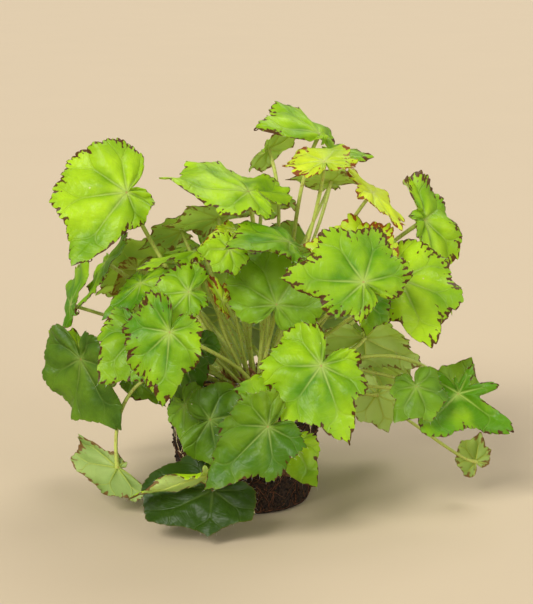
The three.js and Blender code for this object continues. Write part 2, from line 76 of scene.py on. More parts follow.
LEAVES = [
    # the top of the dome
    dict(
        at=(-86, -10, 235), tip=(-125, -35, 186), face=(-8, 12), side=-1, sinus=168, wide=1.06,
        reach=(1, 0.62), curl=12, marks=0.9, teeth=0.7, tone_and_painted_light=0.2,
    ),
    dict(
        at=(3, -28, 238), tip=(-60, -52, 249), face=(0, 70), side=-1, sinus=150, cup=10, bow=(14, 10, 0),
        tone_and_painted_light=0.4,
    ),
    dict(
        at=(55, 12, 275), tip=(9, -13, 282), face=(-15, 50), side=-1, sinus=150, reach=(1, 0.35),
        curl=35, cup=20, bow=(2, 6, 0), marks=1, hook=True,
    ),
    dict(at=(17, 30, 262), tip=(46, 42, 278), face=(170, 55), side=1, sinus=150),
    dict(
        at=(57, -46, 262), tip=(71, -10, 271), face=(0, 76), side=1, wide=1.3, reach=(0.8, 0.8),
        curl=15, cup=20, bow=(0, 10, 0), tone="young", marks=1.2, tone_and_painted_light=0.4,
    ),
    dict(
        at=(65, 45, 236), tip=(31, 42, 240), face=(180, 60), side=1, sinus=150, wide=0.85,
        reach=(1.2, 1.2), marks=2, tone_and_painted_light=0.9,
    ),
    dict(
        at=(92, -25, 237), tip=(114, -41, 213), face=(70, 35), side=1, wide=0.9, reach=(1.3, 1.3),
        bow=(0, 10, 0), tone="young", tone_and_painted_light=0.4,
    ),
    dict(
        at=(74, 75, 254), tip=(99, 77, 250), face=(0, 72), side=1, wide=1.2, cup=20, bow=(0, 25, 0),
        marks=1.8,
    ),
    # the right shoulder
    dict(
        at=(135, 25, 209), tip=(153, 8, 139), face=(50, 5), side=1, wide=0.7, reach=(0.85, 0.6),
        fold=20, marks=2,
    ),
    dict(
        at=(112, -45, 177), tip=(133, -75, 134), face=(20, 15), side=1, wide=1.05, marks=1.2, tone_and_painted_light=0.2,
    ),
    dict(
        at=(82, -105, 187), tip=(26, -115, 192), face=(0, 25), side=-1, sinus=133, lobed=2, marks=1.2,
        tone_and_painted_light=-0.1,
    ),
    dict(at=(83, -54, 191), tip=(44, -42, 202), face=(5, 40), side=-1, wide=1.3, tone="young", marks=1),
    # the middle
    dict(
        at=(23, -66, 163), tip=(47, -56, 199), face=(-5, 15), side=1, sinus=170, wide=1.3, tone="dark",
        tone_and_painted_light=0.35,
    ),
    dict(
        at=(32, -62, 207), tip=(-12, -100, 209), face=(-5, 60), side=-1, reach=(0.8, 0.8), curl=30,
        cup=15, bow=(0, 30, 5),
    ),
    dict(at=(-10, -70, 204), tip=(-33, -75, 204), face=(-10, 25), side=1, wide=1.1),
    dict(
        at=(-16, -55, 163), tip=(-27, -51, 182), face=(60, 10), side=1, fold=50, tone="young", marks=2,
        teeth=2.5,
    ),
    dict(at=(-7, -31, 211), tip=(-31, -44, 201), face=(-5, 40), side=1, reach=(0.7, 0.7), tone="young"),
    dict(
        at=(-20, 4, 214), tip=(-60, -6, 210), face=(170, 52), side=1, sinus=150, marks=1.8, tone_and_painted_light=0.3,
    ),
    dict(at=(-32, -45, 129), tip=(-38, -50, 110), face=(0, 15), side=1, tone="dark"),
    dict(at=(87, -70, 165), tip=(86, -80, 144), face=(5, 15), side=1),
    # the left shoulder
    dict(at=(-39, -65, 172), tip=(-64, -80, 146), face=(-12, 22), side=-1, wide=0.85, marks=1),
    dict(
        at=(-51, -95, 150), tip=(-56, -105, 100), face=(-8, 18), side=-1, sinus=165, wide=0.88,
        marks=1.6, tone_and_painted_light=-0.25,
    ),
    dict(at=(-74, -60, 143), tip=(-104, -75, 108), face=(-15, 25), side=1, wide=1.1, curl=25),
    dict(
        at=(-122, -15, 111), tip=(-93, -35, 61), face=(-45, 8), side=-1, sinus=160, wide=0.9, fold=15,
        tone="dark", marks=0.1, teeth=0.6, painted_shade=0.25,
    ),
    dict(at=(-128, 28, 107), tip=(-149, 20, 125), face=(-20, 50), side=1),
    dict(
        at=(-131, 8, 147), tip=(-117, -2, 184), face=(-75, 5), side=1, sinus=150, reach=(1, 0.6),
        hook=True,
    ),
    dict(at=(-105, 15, 179), tip=(-124, -11, 145), face=(-75, 25), side=1, wide=0.7, hook=True),
    dict(
        at=(-84, 45, 167), tip=(-103, 36, 149), face=(170, 30), side=-1, tone="young", marks=1.6,
        teeth=1.3,
    ),
    dict(at=(-77, -8, 167), tip=(-105, -22, 143), face=(-30, 55), side=1, wide=0.7),
    dict(at=(-49, 35, 199), tip=(-82, 30, 187), face=(180, 50), side=1, marks=1.8, tone_and_painted_light=0.2),
    dict(at=(-35, -25, 194), tip=(-77, -40, 186), face=(175, 84), side=-1, cup=35, marks=1.6),
    # low on the right
    dict(
        at=(123, -65, 103), tip=(107, -80, 81), face=(5, 22), side=1, sinus=133, wide=1.1, lobed=1.5,
        tone="dark",
    ),
    dict(
        at=(156, -40, 91), tip=(196, -42, 63), face=(5, 30), side=-1, reach=(1.3, 1), lobed=7,
        lobes=(2, 3), fold=45, bow=(-20, 10, 50), hook=True, tone_and_painted_light=-0.4,
    ),
    dict(at=(174, -10, 30), tip=(177, -12, 53), face=(170, 0), side=-1, fold=50, marks=1.6),
    dict(at=(163, 20, 75), tip=(174, 30, 101), face=(10, 30), side=1, tone="dark"),
    dict(at=(90, 8, 122), tip=(135, 25, 97), face=(170, 40), side=1, tone_and_painted_light=1),
    dict(at=(98, -20, 85), tip=(107, -20, 56), face=(180, 10), side=1, tone_and_painted_light=1),
    # low in front
    dict(
        at=(54, -95, 126), tip=(73, -120, 78), face=(3, 18), side=-1, sinus=133, wide=1.02, lobed=1.5,
        bow=(0, 0, 10), tone_and_painted_light=0.2, hook=True,
    ),
    dict(
        at=(17, -122, 90), tip=(-25, -135, 50), face=(-5, 12), side=-1, sinus=160, reach=(0.66, 1),
        lobed=1.5, fold=25, bow=(12, 0, -4), marks=0.35, tone_and_painted_light=-0.3, painted_shade=0.45,
    ),
    dict(
        at=(36, -78, 65), tip=(51, -92, 37), face=(10, 20), side=-1, reach=(0.8, 0.8), wide=1.2,
        rise=12,
    ),
    dict(
        at=(-24, -84, 84), tip=(14, -79, 89), face=(-12, 15), side=-1, sinus=175, reach=(1.2, 1.2),
        tone="dark", marks=0.1, teeth=0.6, painted_shade=0.2,
    ),
    dict(at=(36, -88, 101), tip=(-7, -100, 110), face=(-5, 20), side=-1, reach=(0.75, 0.5)),
    dict(
        at=(-22, -95, 35), tip=(-25, -119, 10), face=(-5, 12), side=-1, wide=1.35, reach=(1.5, 1.35),
        lobed=0.5, tone="dark", rise=28, bow=(0, 4, 15), marks=0.1, teeth=0.6, tone_and_painted_light=-0.5, painted_shade=0.85,
    ),
    dict(
        at=(-24, -113, 53), tip=(-81, -104, 35), face=(180, 62), side=-1, reach=(0.5, 0.6), rise=28,
        bow=(10, 15, -25), marks=1.4, tone_and_painted_light=1,
    ),
    # low on the left
    dict(
        at=(-95, -30, 31), tip=(-126, -8, 50), face=(180, -50), side=-1, wide=0.55, reach=(1.4, 0.7),
        rise=10, bow=(-20, 15, 60), marks=1.2, painted_shade=0.2,
    ),
    dict(at=(-43, -64, 89), tip=(-44, -70, 61), face=(-30, 10), side=1, tone="dark"),
    dict(at=(-44, -50, 115), tip=(-53, -50, 87), face=(-30, 10), side=1, tone="dark"),
    dict(at=(-84, 5, 90), tip=(-60, -5, 72), face=(-10, 75), side=1, tone="dark"),
    # the back
    dict(at=(-70, 80, 170), tip=(-95, 115, 115), face=(-145, 25), side=1, sinus=150),
    dict(at=(-34, 102, 172), tip=(-40, 140, 115), face=(180, 25), side=-1),
    dict(at=(54, 92, 171), tip=(74, 132, 119), face=(150, 25), side=1),
    dict(at=(112, 72, 145), tip=(150, 98, 100), face=(120, 25), side=-1),
    dict(at=(-75, 85, 125), tip=(-85, 118, 75), face=(-125, 20), side=1),
    # these two take the dark tone partly as painted shade, deepening the middle of the plant
    dict(at=(-16, 98, 120), tip=(-22, 134, 62), face=(-172, 15), side=-1, wide=1.3, tone="dark"),
    dict(at=(52, 115, 112), tip=(62, 145, 50), face=(175, 15), side=1, tone="dark"),
    dict(at=(95, 85, 90), tip=(125, 110, 35), face=(140, 15), side=-1),
    dict(at=(12, 55, 220), tip=(15, 105, 198), face=(180, 60), side=1),
    dict(at=(-118, 58, 84), tip=(-136, 74, 46), face=(-135, 10), side=-1, tone="dark"),
]

# --------------------------------------------------------------- dimensions

NOTCH = 9  # degrees left open between the two basal lobes
SINUS = 145  # degrees from the midrib to the notch
LOBE = 0.05  # depth between two lobes, of the blade's length
LOBES = (4, 3)  # on the broad and the narrow half
BLEND = 0.3  # how far from the tip or the notch a half gets its full shape
RUFFLE = 0.045  # waves of the margin, of the blade's length, like the next five
WAVE = 0.03  # broad swells and hollows
FRILL = 0.016  # short waves of the outermost part
BENT = 6  # degrees that a blade curls and cups if nothing else is said
PUFF = 0.04  # how far the blade swells up between its veins
ROLL = 0.025  # how far the margin turns down
LAST_VEIN = 0.35  # crowds the vein of a basal lobe away from the notch
FORK_FROM = 0.52  # share of the way out at which the main veins fork
FORK_REACH = 0.27  # of the distance to the next vein
LOBULE = 0.9  # how far the margin swings out over a few teeth, of the tooth depth
BLOTCH = 12  # depth of the deepest blotch between two teeth of a blade of 80 mm
MARKS = {"bright": 0.75, "young": 0.75, "dark": 0.3}
TEETH = {"bright": 1, "young": 1.8, "dark": 0.8}
LOBED = {"bright": 1, "young": 1, "dark": 0.5}
FORK_SIZE = 0.55  # stoutness of a fork, of its vein
RIB_SIDES = 4
THINNING = 0.45  # how much thinner the edge is than the middle
HOOK_RADIUS = 2.4  # of the roll of a withered tip
HOOK_TURN = 4.4  # radians that it rolls
HOOK_THREAD = (0.75, 0.3)  # radius of the thread at its start and end
HOOK_POINTS = 18
UNMARKED = {"vein": (0, 0, 0), "edge": (0, 99, 1)}  # marks of a surface with no vein and no edge
TOOTH_SIZE = (0.3, 1.2)  # smallest and largest tooth, of the tooth depth
VEIN_TOOTH = 1.3  # the tooth that a main vein ends in
TOOTH_LEAN = 0.2  # how far a tooth points to the tip, of the tooth spacing
TOOTH_SHIFT = 0.22  # how far one may stand off its place
TOOTH_PROFILE = {4: (1, 0.4, -1, 0.3), 6: (1, 0.75, 0.2, -1, 0.1, 0.7)}  # by points to a tooth
LONG_BLADE = 45  # a longer blade has six points to a tooth
STAIN_SPREAD = (1.3, 1.2)  # shallow and deep blotches are about as common
TOOTH_FLUTTER = 0.5  # how far the teeth wave up and down, in millimetres
TOOTHED = 0.84  # share of the way out at which the teeth start
RIB_TAPER = 0.8  # share of its radius that a rib loses on its way to the edge
RIB_BELOW = 0.35  # how far the middle of a rib lies under the lower face, of its radius

# Radius over the blade's length, from the tip (0) round to the notch (1).
BROAD_SIDE = (
    (0, 1), (0.07, 0.86), (0.16, 0.79), (0.25, 0.8), (0.36, 0.75), (0.48, 0.73),
    (0.6, 0.68), (0.72, 0.65), (0.83, 0.59), (0.92, 0.47), (0.97, 0.28), (1, 0.08),
)
NARROW_SIDE = (
    (0, 1), (0.09, 0.8), (0.19, 0.66), (0.3, 0.63), (0.45, 0.56), (0.6, 0.5),
    (0.75, 0.44), (0.88, 0.34), (0.96, 0.2), (1, 0.08),
)

# Rings of a blade from its middle to its edge: every second point, then every point.
COARSE_RINGS = (0.05, 0.11, 0.18, 0.26, 0.34, 0.42, 0.5, 0.58, 0.66)
FINE_RINGS = (0.74, 0.82, 0.89, 0.94, 0.975, 1)

BALL_HEIGHT = round(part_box("root_ball")[1].z / MM)
BALL_FLAT = 45  # radius of the flat that it stands on
BALL_BASE = 49  # radius over the rounded lower edge
BALL_TOP = 57  # radius under the shoulder
BALL_EDGE = 5  # height of the lower edge
BALL_SHOULDER = 4  # radius of the upper edge
BALL_RELIEF = 1.1  # of the bundles of roots
BALL_SIDES = 220

CROWN_CENTRE = np.array((10, -4))
CROWN_RADIUS = 31
CROWN_BRANCHES = 5
CROWN_LOBE = 1.2  # how far each branch stands out
CROWN_SUNK = 4  # depth of the seat in the peat
CROWN_GAP = 0.7  # between the rhizome and its seat
CROWN_RIM = 1.5  # height of the edge over the peat
CROWN_HEIGHT = 9  # of the mound over its edge
CROWN_STEEP = 0.98  # near 1, the edge is steep
CROWN_KNOB = 1.3  # height of the knobs
CROWN_RIDGE = 1.1  # height of the branches' backs
CROWN_SCAR = 0.45  # height of the rings of leaf scars
CROWN_SIDES = 150

SCALE_TURNS = (0.4, 1.9, 3.5, 5.1)  # radians round a stalk's foot at which its scales stand

CRUMBED = (3, 81)  # heights between which the ball carries crumbs
ROOTED = (3, 79)  # between which it carries fine roots
YOUNG_ROOTED = (40, 79)  # between which it carries young ones
LEVEL = 0.8  # faces of the ball that look up or down more than this have no roots
FLOOR_REACH = 40  # metres

# Each ring of stalks leaves the crown at its own radius, and has a count and a lean.
RINGS = ((4, 4, 8), (9.5, 9, 18), (15, 13, 30), (20.5, 15, 42), (26, 17, 54))
SLOT_SHARE = 0.65  # how far a stalk moves from its leaf's bearing to an even spacing
STALK_DEPTH = 5  # of its foot in the rhizome
STALK_LEAVE = 0.35  # how far it keeps its first direction, of its reach
STALK_ARRIVE = 0.3  # how far its last direction
STALK_SQUARE = 0.6  # how squarely it meets the blade
STALK_THIN = 1.3  # least radius
STALK_STOUT = 1.9  # greatest radius
STALK_BODY = 0.88  # radius of its plain part, like the next three a share of the stalk's radius
STALK_FOOT = 0.35  # how much stouter it is at its foot
STALK_FLARE = 0.5  # how much stouter where it meets the blade
STALK_WAVER = 0.03  # how uneven it is
FOOT_LENGTH = 9
FLARE_LENGTH = 2.5
STALK_SIDES = 12
STALK_STEP = 3.5  # between two rings of points on a stalk


# ------------------------------------------------------------------ helpers


def linear(hex_colour):
    """Turns an sRGB hex value into the linear colour that a shader takes, with its alpha."""
    parts = [(hex_colour >> shift & 255) / 255 for shift in (16, 8, 0)]
    return (*(c / 12.92 if c <= 0.04045 else ((c + 0.055) / 1.055) ** 2.4 for c in parts), 1)


def lerp(a, b, share):
    return a + (b - a) * share


def smoothstep(x, low, high):
    share = np.clip((x - low) / (high - low), 0, 1)
    return share * share * (3 - 2 * share)


def unit(vector):
    return vector / np.linalg.norm(vector, axis=-1, keepdims=True)


def bearing(azimuth, elevation):
    a, e = math.radians(azimuth), math.radians(elevation)
    return np.array((math.sin(a) * math.cos(e), -math.cos(a) * math.cos(e), math.sin(e)))


def smooth_curve(table, at):
    """A smooth curve through a table's points, read at many places."""
    places, values = np.array(table, float).T
    slopes = np.gradient(values, places)
    i = np.clip(np.searchsorted(places, at, side="right") - 1, 0, len(places) - 2)
    step = places[i + 1] - places[i]
    t = (at - places[i]) / step
    start = values[i] * (1 + 2 * t) * (1 - t) ** 2 + slopes[i] * step * t * (1 - t) ** 2
    end = values[i + 1] * t**2 * (3 - 2 * t) - slopes[i + 1] * step * t**2 * (1 - t)
    return start + end


def bend(along, height, curvature):
    """Bends a flat strip so that it follows an arc, and keeps its thickness."""
    if abs(curvature) < 1e-9:
        return along, height
    radius = 1 / curvature
    turn = curvature * along
    return (radius + height) * np.sin(turn), (radius + height) * np.cos(turn) - radius


def add_node(tree, kind, feeds=None, **settings):
    """Adds one node, sets it up, and feeds its inputs with values, nodes or sockets."""
    node = tree.nodes.new(kind)
    for name, value in settings.items():
        setattr(node, name, value)
    for key, value in (feeds or {}).items():
        if isinstance(value, bpy.types.Node):
            value = next(socket for socket in value.outputs if not socket.is_unavailable)
        if isinstance(value, bpy.types.NodeSocket):
            tree.links.new(value, node.inputs[key])
        else:
            node.inputs[key].default_value = value
    return node


class Shell:
    """Points, triangles and per-point marks of one mesh, gathered body by body."""

    def __init__(self):
        self.points, self.triangles, self.slots, self.marks = [], [], [], {}
        self.count = 0

    def add(self, points, triangles, slots, **marks):
        """Takes one closed body. slots is one number, or one for each triangle."""
        self.points.append(points)
        self.triangles.append(np.asarray(triangles) + self.count)
        self.slots.append(np.broadcast_to(slots, len(triangles)))
        for name, values in marks.items():
            full = np.broadcast_to(np.asarray(values, float), (len(points), 3))
            self.marks.setdefault(name, []).append(full)
        self.count += len(points)

    def mesh(self, name, materials, crease=None):
        """Makes the mesh in metres, with its materials and its marks as attributes."""
        points = np.concatenate(self.points) * MM
        triangles = np.concatenate(self.triangles)
        mesh = bpy.data.meshes.new(name)
        mesh.vertices.add(len(points))
        mesh.vertices.foreach_set("co", points.astype(np.float32).ravel())
        mesh.loops.add(3 * len(triangles))
        mesh.loops.foreach_set("vertex_index", triangles.astype(np.int32).ravel())
        mesh.polygons.add(len(triangles))
        mesh.polygons.foreach_set("loop_start", np.arange(0, 3 * len(triangles), 3, dtype=np.int32))
        mesh.polygons.foreach_set("material_index", np.concatenate(self.slots).astype(np.int32))
        mesh.polygons.foreach_set("use_smooth", np.ones(len(triangles), bool))
        mesh.update(calc_edges=True)
        for material in materials:
            mesh.materials.append(material)
        for mark, values in self.marks.items():
            attribute = mesh.attributes.new(mark, "FLOAT_VECTOR", "POINT")
            attribute.data.foreach_set("vector", np.concatenate(values).astype(np.float32).ravel())
        if crease is not None:
            mesh.set_sharp_from_angle(angle=math.radians(crease))
        return mesh


def new_object(name, data):
    """Puts an object in the scene, at the origin."""
    thing = bpy.data.objects.new(name, data)
    bpy.context.scene.collection.objects.link(thing)
    return thing


def aimed(name, data, spot, target):
    """Puts a lamp or a camera at a spot and turns it to its target."""
    thing = new_object(name, data)
    thing.location = spot
    thing.rotation_mode = "QUATERNION"
    thing.rotation_quaternion = (target - spot).to_track_quat("-Z", "Y")
    return thing


def settle(piece, slot, *nodes):
    """Fixes a finished piece to the plant's body and hides the nodes it stands for. Its slot is not
    used.
    """
    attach(piece, "root")
    if nodes:
        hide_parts(*nodes)


def angles(sides):
    return np.linspace(0, 2 * math.pi, sides, endpoint=False)


def loft(rings):
    """Triangles over rings of equally many points, closed by a point at each end."""
    layers, count = rings.shape[:2]
    i = np.arange(count)
    j = (i + 1) % count
    start, end = layers * count, layers * count + 1
    triangles = [np.stack([np.full(count, start), j, i], 1)]
    for low in range(0, start - count, count):
        high = low + count
        triangles.append(np.stack([low + i, low + j, high + j], 1))
        triangles.append(np.stack([low + i, high + j, high + i], 1))
    top = start - count
    triangles.append(np.stack([top + i, top + j, np.full(count, end)], 1))
    return np.concatenate(triangles)


def tube(path, radii, sides, normal=None):
    """Points and triangles of a tube along a path, with rounded closed ends."""
    along = unit(np.gradient(path, axis=0))
    if normal is None:
        normal = np.eye(3)[np.argmin(np.abs(along[0]))]
    across = np.empty_like(path)
    across[0] = unit(np.cross(along[0], normal))
    for i in range(1, len(path)):
        across[i] = unit(across[i - 1] - along[i] * np.dot(across[i - 1], along[i]))
    other = np.cross(along, across)
    turn = angles(sides)[None, :, None]
    circle = np.cos(turn) * across[:, None] + np.sin(turn) * other[:, None]
    rings = path[:, None] + circle * np.asarray(radii)[:, None, None]
    ends = [path[0] - 0.5 * radii[0] * along[0], path[-1] + 0.5 * radii[-1] * along[-1]]
    return np.concatenate([rings.reshape(-1, 3), ends]), loft(rings)


# --------------------------------------------------------------------- blade


class Blade:
    """The surface of one blade, found by phase and share of the way out.

    The phase is 0 on the midrib and a whole number at each lobe, above 0 on the broad half and
    below 0 on the narrow one. The share is 0 where the stalk meets the blade and 1 at the edge.
    """

    def __init__(self, row, seed):
        self.row, self.seed = row, seed
        self.tone = row.get("tone", "bright")
        self.at = np.array(row["at"], float)
        chord = np.array(row["tip"], float) - self.at
        reach = np.linalg.norm(chord)
        chord /= reach
        up = bearing(*row["face"])
        up = unit(up - chord * np.dot(up, chord))
        half = math.radians(row.get("curl", BENT)) / 2
        self.x = chord * math.cos(half) + up * math.sin(half)
        self.z = up * math.cos(half) - chord * math.sin(half)
        self.y = np.cross(self.z, self.x)
        self.length = reach * half / math.sin(half)
        self.curl = 2 * half / self.length
        self.cup = math.radians(row.get("cup", BENT)) / self.length
        self.crease = math.radians(row.get("fold", 0)) / 2
        narrow = row.get("sinus", SINUS)
        self.spans = np.radians((360 - NOTCH - narrow, narrow))
        self.lobes = np.array(row.get("lobes", LOBES))

    def halves(self, phase):
        """Lobes, span in radians and usual reach of the half that each phase lies on."""
        half = np.where(phase > 0, 0, 1)
        return self.lobes[half], self.spans[half], np.array(self.row.get("reach", (1, 1)))[half]

    def outline(self, phase):
        """Angle and radius of the edge without its teeth."""
        lobes, span, reach = self.halves(phase)
        u = np.minimum(np.abs(phase) / lobes, 1)
        usual = np.where(phase > 0, smooth_curve(BROAD_SIDE, u), smooth_curve(NARROW_SIDE, u))
        depth = LOBE / 2 * self.row.get("lobed", LOBED[self.tone]) * smoothstep(1 - u, 0, BLEND)
        lobed = depth * (np.cos(2 * math.pi * phase) - 1)
        reach = lerp(1, reach, smoothstep(u, 0, BLEND))
        angle = self.row["side"] * phase / lobes * span
        return angle, self.length * reach * (usual + lobed)

    def vein_phase(self, phase):
        """Like the phase, with the vein of each basal lobe moved away from the notch."""
        lobes = self.halves(phase)[0]
        past = np.maximum(np.abs(phase) - (lobes - 1), 0)
        return np.sign(phase) * (np.abs(phase) + LAST_VEIN * past)

    def sector_width(self, phase, share):
        """How wide one whole phase is, in millimetres."""
        lobes, span, _ = self.halves(phase)
        crowding = np.where(np.abs(phase) > lobes - 1, 1 + LAST_VEIN, 1)
        return share * self.outline(phase)[1] * span / lobes / crowding

    def relief(self, phase, share, angle, x, y):
        """How far the blade rises out of its smooth form, of its length."""
        seed = self.seed
        # waves that don't fit each other, and that the leaf's number shifts
        wave = np.sin(5 * angle + seed) + 0.5 * np.sin(9 * angle + 2 * seed)
        frill = np.sin(17 * angle + 3 * seed) * np.sin(4 * angle - seed)
        dent = np.sin(6.5 * x + 2.1 * seed) * np.cos(5.3 * y - 1.3 * seed)
        dent = dent + 0.5 * np.sin(9 * x - 7 * y + seed)
        away = np.abs((self.vein_phase(phase) + 0.5) % 1 - 0.5)
        forked = smoothstep(share, FORK_FROM, 1)
        beside = np.abs(away - FORK_REACH * forked) / lerp(0.5, 0.25, forked)
        swell = (np.sin(math.pi / 2 * np.minimum(beside, 1)) - 0.6) * lerp(1, 0.4, forked)
        return (RUFFLE * share**3 * wave + FRILL * share**8 * frill - ROLL * share**6
                + WAVE * smoothstep(share, 0.1, 0.7) * dent + PUFF * smoothstep(share, 0, 0.4) * swell)

    def point(self, phase, share, height=0, tooth=0):
        """Places of points on the blade. tooth moves a point out along its own line."""
        angle, edge = self.outline(phase)
        radius = share * edge + tooth
        x = radius * np.cos(angle)
        y = radius * np.sin(angle) * self.row.get("wide", 1)
        z = height + self.length * self.relief(phase, share, angle, x / self.length, y / self.length)
        z = z + np.abs(y) * math.sin(self.crease)
        y = y * math.cos(self.crease)
        y, z = bend(y, z, self.cup)
        x, z = bend(x, z, self.curl)
        return self.at + x[..., None] * self.x + y[..., None] * self.y + z[..., None] * self.z


class Margin:
    """The teeth round a blade: where they stand, how deep they are and how they are marked."""

    def __init__(self, blade, spacing, depth):
        row = blade.row
        rng = np.random.default_rng(1000 + blade.seed)
        per_tooth = 6 if blade.length > LONG_BLADE else 4
        profile = np.array(TOOTH_PROFILE[per_tooth])
        stretches = []
        for half, sign in ((1, -1), (0, 1)):
            lobes = blade.lobes[half]
            angle, edge = blade.outline(sign * np.linspace(0.02, lobes, 60))
            steps = np.hypot(np.diff(edge), edge[1:] * np.diff(angle))
            lobe_length = steps.sum() / lobes
            per_lobe = max(3, 2 * round((lobe_length / spacing - 1) / 2) + 1)
            count = per_lobe * lobes
            size = rng.uniform(*TOOTH_SIZE, count + 1)
            size[::per_lobe] = VEIN_TOOTH
            shift = rng.uniform(-TOOTH_SHIFT, TOOTH_SHIFT, count + 1)
            stain = rng.beta(*STAIN_SPREAD, count + 1)
            if blade.tone == "young":
                stain = 0.5 + 0.5 * stain
            start = rng.uniform(0, 6)
            index = np.arange(per_tooth * count + 1)
            tooth = index / per_tooth
            nearest = np.clip(np.rint(tooth).astype(int), 0, count)
            sinus = np.clip(np.floor(tooth).astype(int), 0, count)
            height = profile[index % per_tooth] * size[nearest] + LOBULE * np.sin(2.4 * tooth + start)
            lean = (TOOTH_LEAN + shift[nearest]) * np.clip(1 - 2 * np.abs(tooth - nearest), 0, 1)
            phase = sign * np.clip((tooth - lean) / per_lobe, 0, lobes)
            # teeth and blotches fade out in the notch
            room = smoothstep(blade.outline(sign * tooth / per_lobe)[1] / blade.length, 0.12, 0.5)
            order = slice(None) if sign > 0 else slice(None, 0, -1)
            stretch = np.stack([phase, sign * tooth, height * room, stain[sinus] * room])
            stretches.append(stretch[:, order])
        in_notch = blade.lobes[0] * (1 + math.radians(NOTCH / 2) / blade.spans[0])
        stretches.append([[in_notch], [stretch[1, -1]], [0], [0]])
        self.phase, self.tooth, height, blotch = np.concatenate(stretches, 1)
        self.height = height * depth * blade.length * row.get("teeth", TEETH[blade.tone])
        deepest = BLOTCH * row.get("marks", MARKS[blade.tone]) * math.sqrt(blade.length / 80)
        self.blotch = np.maximum(blotch * deepest, 0.01)
        self.tips = np.flatnonzero(np.isclose(self.tooth % 1, 0))[1:-1]


def blade_grid(blade, margin, settings):
    """Both faces of a blade as rings of points round the stalk, and the marks of each point."""
    n = len(margin.phase)
    rings = [(share, np.arange(0, n, 2)) for share in COARSE_RINGS]
    rings += [(share, np.arange(n)) for share in FINE_RINGS]
    phase = np.concatenate([[0.0], *[margin.phase[i] for _, i in rings]])
    share = np.concatenate([[0.0], *[np.full(len(i), s) for s, i in rings]])
    index = np.concatenate([[0], *[i for _, i in rings]])
    outer = smoothstep(share, TOOTHED, 1)
    tooth = margin.height[index] * outer
    edge = blade.outline(phase)[1]
    flutter = TOOTH_FLUTTER * np.sin(2.3 * margin.tooth[index] + blade.seed) * outer
    half = half_thickness(settings, share)
    reach = margin.blotch[index]
    from_edge = (1 - share) * edge + (margin.height[index] - tooth)
    faces = [blade.point(phase, share, side * half + flutter, tooth) for side in (1, -1)]
    marks = {
        "vein": np.stack([
            blade.vein_phase(phase),
            FORK_REACH * smoothstep(share, FORK_FROM, 1),
            blade.sector_width(phase, share),
        ], 1),
        "edge": np.stack([margin.tooth[index], from_edge, reach], 1),
    }
    return faces, rings, share, marks


def blade_triangles(rings):
    """Triangles of one face over rings of which some have twice the points of the last."""
    counts = [len(i) for _, i in rings]
    starts = np.cumsum([1, *counts[:-1]])
    i = np.arange(counts[0])
    triangles = [np.stack([np.zeros_like(i), 1 + i, 1 + (i + 1) % counts[0]], 1)]
    for inner, outer, low, high in zip(counts, counts[1:], starts, starts[1:]):
        i = np.arange(inner)
        j = (i + 1) % inner
        if inner == outer:
            triangles.append(np.stack([low + i, high + i, high + j], 1))
            triangles.append(np.stack([low + i, high + j, low + j], 1))
        else:
            a, b, c = 2 * i, 2 * i + 1, (2 * i + 2) % outer
            triangles.append(np.stack([low + i, high + a, high + b], 1))
            triangles.append(np.stack([low + i, high + b, low + j], 1))
            triangles.append(np.stack([low + j, high + b, high + c], 1))
    return np.concatenate(triangles), starts[-1], counts[-1]


def half_thickness(settings, share):
    """Half of a blade's thickness, which falls towards its edge."""
    return settings.thickness / MM / 2 * (1 - THINNING * share**2)


def look_marks(share, tone_and_painted_light):
    """The share of the way out of each point, with its blade's tint, which is partly painted light and
    shade, and its painted shade.
    """
    return np.column_stack([share, np.tile(tone_and_painted_light, (len(share), 1))])


def add_blade(shell, blade, margin, settings, tone_and_painted_light):
    """Both faces of a blade and the rim between them."""
    faces, rings, share, marks = blade_grid(blade, margin, settings)
    triangles, last, count = blade_triangles(rings)
    lower = len(share)
    i = last + np.arange(count)
    j = last + (np.arange(count) + 1) % count
    rim = np.concatenate([np.stack([i, i + lower, j + lower], 1), np.stack([i, j + lower, j], 1)])
    if blade.row["side"] < 0:
        triangles, rim = triangles[:, ::-1], rim[:, ::-1]
    body = np.concatenate([triangles, triangles[:, ::-1] + lower, rim])
    slots = np.repeat((0, 1, 0), (len(triangles), len(triangles), len(rim)))
    both = {name: np.concatenate([values, values]) for name, values in marks.items()}
    look = look_marks(np.append(share, share), tone_and_painted_light)
    shell.add(np.concatenate(faces), body, slots, look=look, **both)


def add_hook(shell, blade, tone_and_painted_light):
    """A withered tip, thin as a thread and rolled under."""
    tip, inner = blade.point(np.zeros(2), np.array((0.98, 0.8)))
    ahead = unit(tip - inner)
    turn = np.linspace(-0.5, HOOK_TURN, HOOK_POINTS)[:, None]
    radius = np.linspace(HOOK_RADIUS, 0.5 * HOOK_RADIUS, HOOK_POINTS)[:, None]
    rolled = radius * (np.sin(turn) * ahead + (np.cos(turn) - 1) * blade.z)
    points, triangles = tube(tip + rolled, np.linspace(*HOOK_THREAD, HOOK_POINTS), 6, blade.y)
    shell.add(points, triangles, 0, look=(1, *tone_and_painted_light), vein=(0.5, 0, 9), edge=(0.5, 0, 9))


def vein_lines(blade):
    """Phases and shares along every main vein and both of its forks, with their stoutness."""
    lines = []
    stem = np.linspace(0.03, FORK_FROM + 0.08, 8)
    fork = np.linspace(FORK_FROM, 0.93, 6)
    swing = FORK_REACH * smoothstep(fork, FORK_FROM, 1)
    for half, sign in ((1, -1), (0, 1)):
        lobes = blade.lobes[half]
        for k in range(0 if sign > 0 else 1, lobes + 1):
            centre = sign * (k if k < lobes else lobes - 1 + 1 / (1 + LAST_VEIN))
            crowd = 1 + LAST_VEIN if k == lobes else 1
            lines.append((np.full(len(stem), float(centre)), stem, 1.0))
            for way in (-1, 1):
                phase = np.clip(centre + way * swing / crowd, -blade.lobes[1], blade.lobes[0])
                lines.append((phase, fork, FORK_SIZE))
    return lines


